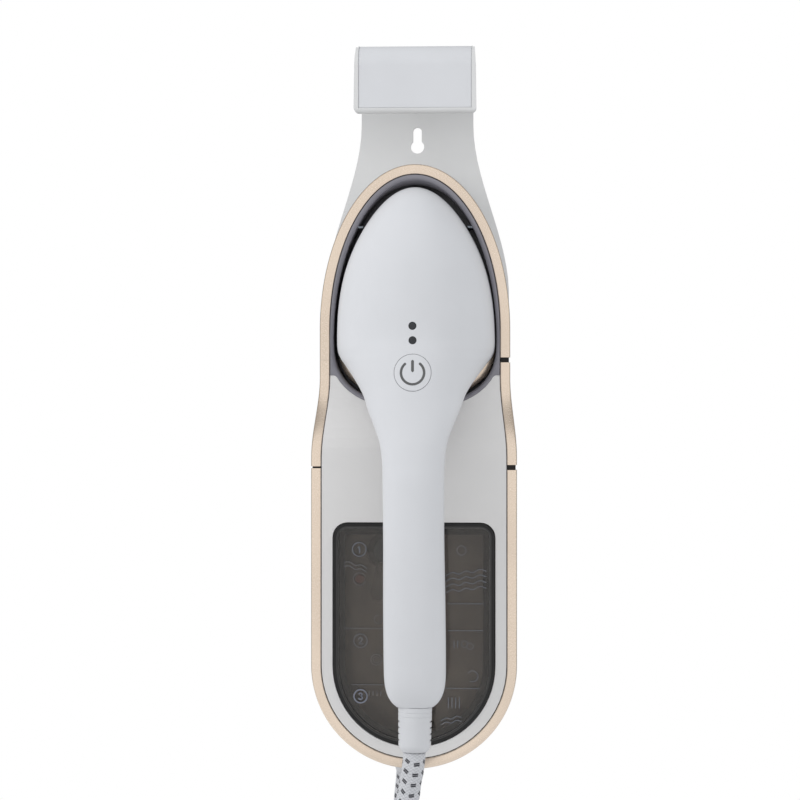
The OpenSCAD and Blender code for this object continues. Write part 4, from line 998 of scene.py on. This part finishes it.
def window_line(off):
    """The window's outline moved outwards, round from the middle of its top."""
    corner, foot = WIN_R + off, WIN_HW + off
    right = [(0, WIN_TOP + off)]
    right += [(WIN_HW - WIN_R + corner * math.cos(a), WIN_TOP - WIN_R + corner * math.sin(a))
              for a in np.radians(np.linspace(90, 0, 13))]
    right += [(foot * math.cos(a), FOOT_Z + foot * math.sin(a)) for a in np.radians(np.linspace(0, -90, 60))]
    return right + [(-x, z) for x, z in reversed(right)]


# a fine lighter line just inside the window's frame, a painted highlight for the light that its polished
# edge catches
marks("window_edge_highlight", [(window_line(-3.45), window_line(-2.95))], edge_highlight_grey)
# the tub's side wall seen end on, a darker band behind the window's border
marks("tub_edge", [(window_line(-7.4), window_line(-3.2))], black, depth=BEHIND_D)
# the frame's inner edge, a step beside its dark face in a lighter grey: a painted highlight along its ridge
marks("frame_lip_highlight", [(window_line(-2.88), window_line(-2.1))], ridge_highlight_grey, depth=FRAME_D)


# ---------------------------------------------------------------- seam of the hook's cover
cover = np.array([v.co for v in nodes["hook_cover"].data.vertices]) * 1000
cov_x, cov_low, cov_front = cover[:, 0].max(), cover[:, 2].min(), -cover[:, 1].min()
SEAM_W, SEAM_DOWN, LIP_T = 0.3, 0.35, 1.4        # the seam's width, the lip's depth in it, its thickness
NOSE_R, NOSE_Z = 14, 47.6                        # rounding of the hook's nose and its centre's height


def seam(name, x0, x1, line):
    """A pale lip in the seam round the cover, just under its face, along a line of (depth, height)."""
    pts = [put(x, d, z) for d, z in line for x in (x0, x1)]
    line = np.array(line, float)
    way = np.gradient(line, axis=0)
    way /= np.linalg.norm(way, axis=1)[:, None]
    pts += [put(x, d - LIP_T * w[1], z + LIP_T * w[0]) for (d, z), w in zip(line, way) for x in (x0, x1)]
    n = len(line)
    faces = [tuple(base + v for v in f) for base in (0, 2 * n) for f in grid_faces(n, 2)]
    for i in range(n - 1):
        faces += [(2 * i + k, 2 * i + 2 + k, 2 * (n + i) + 2 + k, 2 * (n + i) + k) for k in (0, 1)]
    faces += [(2 * i, 2 * i + 1, 2 * (n + i) + 1, 2 * (n + i)) for i in (0, n - 1)]
    as_piece(link(name, pts, faces, smooth=False), white, "base")


seam_d, outer, inner = cov_front - SEAM_DOWN, cov_x + SEAM_W, cov_x + 0.01
up_and_over = [(seam_d, cov_low - SEAM_W), (seam_d, NOSE_Z)]
up_and_over += [(cov_front + SEAM_DOWN - NOSE_R + d, NOSE_Z + z)
                for d, z in arc(0, 0, NOSE_R - 2 * SEAM_DOWN, 4, 88, 14)]
seam("seam_left", -outer, -inner, up_and_over)
seam("seam_right", inner, outer, up_and_over)
seam("seam_low", -outer, outer, [(seam_d, cov_low - SEAM_W), (seam_d, cov_low - 0.01)])


# ---------------------------------------------------------------- stage and light
FLOOR_Z, FLOOR_HW = -0.70, 1.5                   # in metres, like the lights' places below
floor = link("floor", [(x, y, FLOOR_Z) for x, y in ((-FLOOR_HW, -1.3), (FLOOR_HW, -1.3),
                                                    (FLOOR_HW, 1.4), (-FLOOR_HW, 1.4))], [(0, 1, 2, 3)])
floor_mat = Mat("floor", (0.8, 0.8, 0.8), 0.8).vary(0.02, 3, 60, 0.1, 0.0005)
floor.data.materials.append(floor_mat.mat)

world = bpy.data.worlds.new("studio")
scene.world = world
world.use_nodes = True
tree = world.node_tree
tree.nodes.clear()
out = tree.nodes.new("ShaderNodeOutputWorld")


def background(color, strength):
    node = tree.nodes.new("ShaderNodeBackground")
    node.inputs[0].default_value = (*color, 1)
    node.inputs[1].default_value = strength
    return node


plain_bg = background((0.96, 0.98, 1.0), 0.74)
white_bg = background((1, 1, 1), 1.0)
# polished faces see a broad white front and a dimmer room to the sides and above
room_bg = background((0.8, 0.8, 0.8), 1.0)
way = tree.nodes.new("ShaderNodeTexCoord")
part = tree.nodes.new("ShaderNodeSeparateXYZ")
tree.links.new(way.outputs["Generated"], part.inputs[0])
ahead = Val(tree, part.outputs[1]) * -1 - Val(tree, part.outputs[2]).max(0.0) * 0.38
tree.links.new(ahead.ramp(0.35, 0.58, 0.32, 1.0).socket, room_bg.inputs[1])
lp = tree.nodes.new("ShaderNodeLightPath")


def either(factor, first, second):
    """The first shader where the factor is 0 and the second where it is 1."""
    node = tree.nodes.new("ShaderNodeMixShader")
    tree.links.new(factor, node.inputs[0])
    tree.links.new(first, node.inputs[1])
    tree.links.new(second, node.inputs[2])
    return node.outputs[0]


lit = either(lp.outputs["Is Glossy Ray"], plain_bg.outputs[0], room_bg.outputs[0])
seen = Val(tree, lp.outputs["Is Camera Ray"]).max(Val(tree, lp.outputs["Is Transmission Ray"]))
tree.links.new(either(seen.socket, lit, white_bg.outputs[0]), out.inputs[0])


def softbox(name, place, size, power):
    """A square soft light on the object, which polished faces don't mirror."""
    aim = (0, -0.05, -0.06)
    data = bpy.data.lights.new(name, "AREA")
    data.shape = "SQUARE"
    data.size = size
    data.energy = power
    obj = bpy.data.objects.new(name, data)
    scene.collection.objects.link(obj)
    obj.location = place
    obj.rotation_euler = (Vector(aim) - Vector(place)).to_track_quat("-Z", "Y").to_euler()
    obj.visible_glossy = False


softbox("key", (-1.00, -0.48, 0.38), 0.8, 6.6)
softbox("fill", (0.92, -0.74, 0.36), 0.9, 2.9)
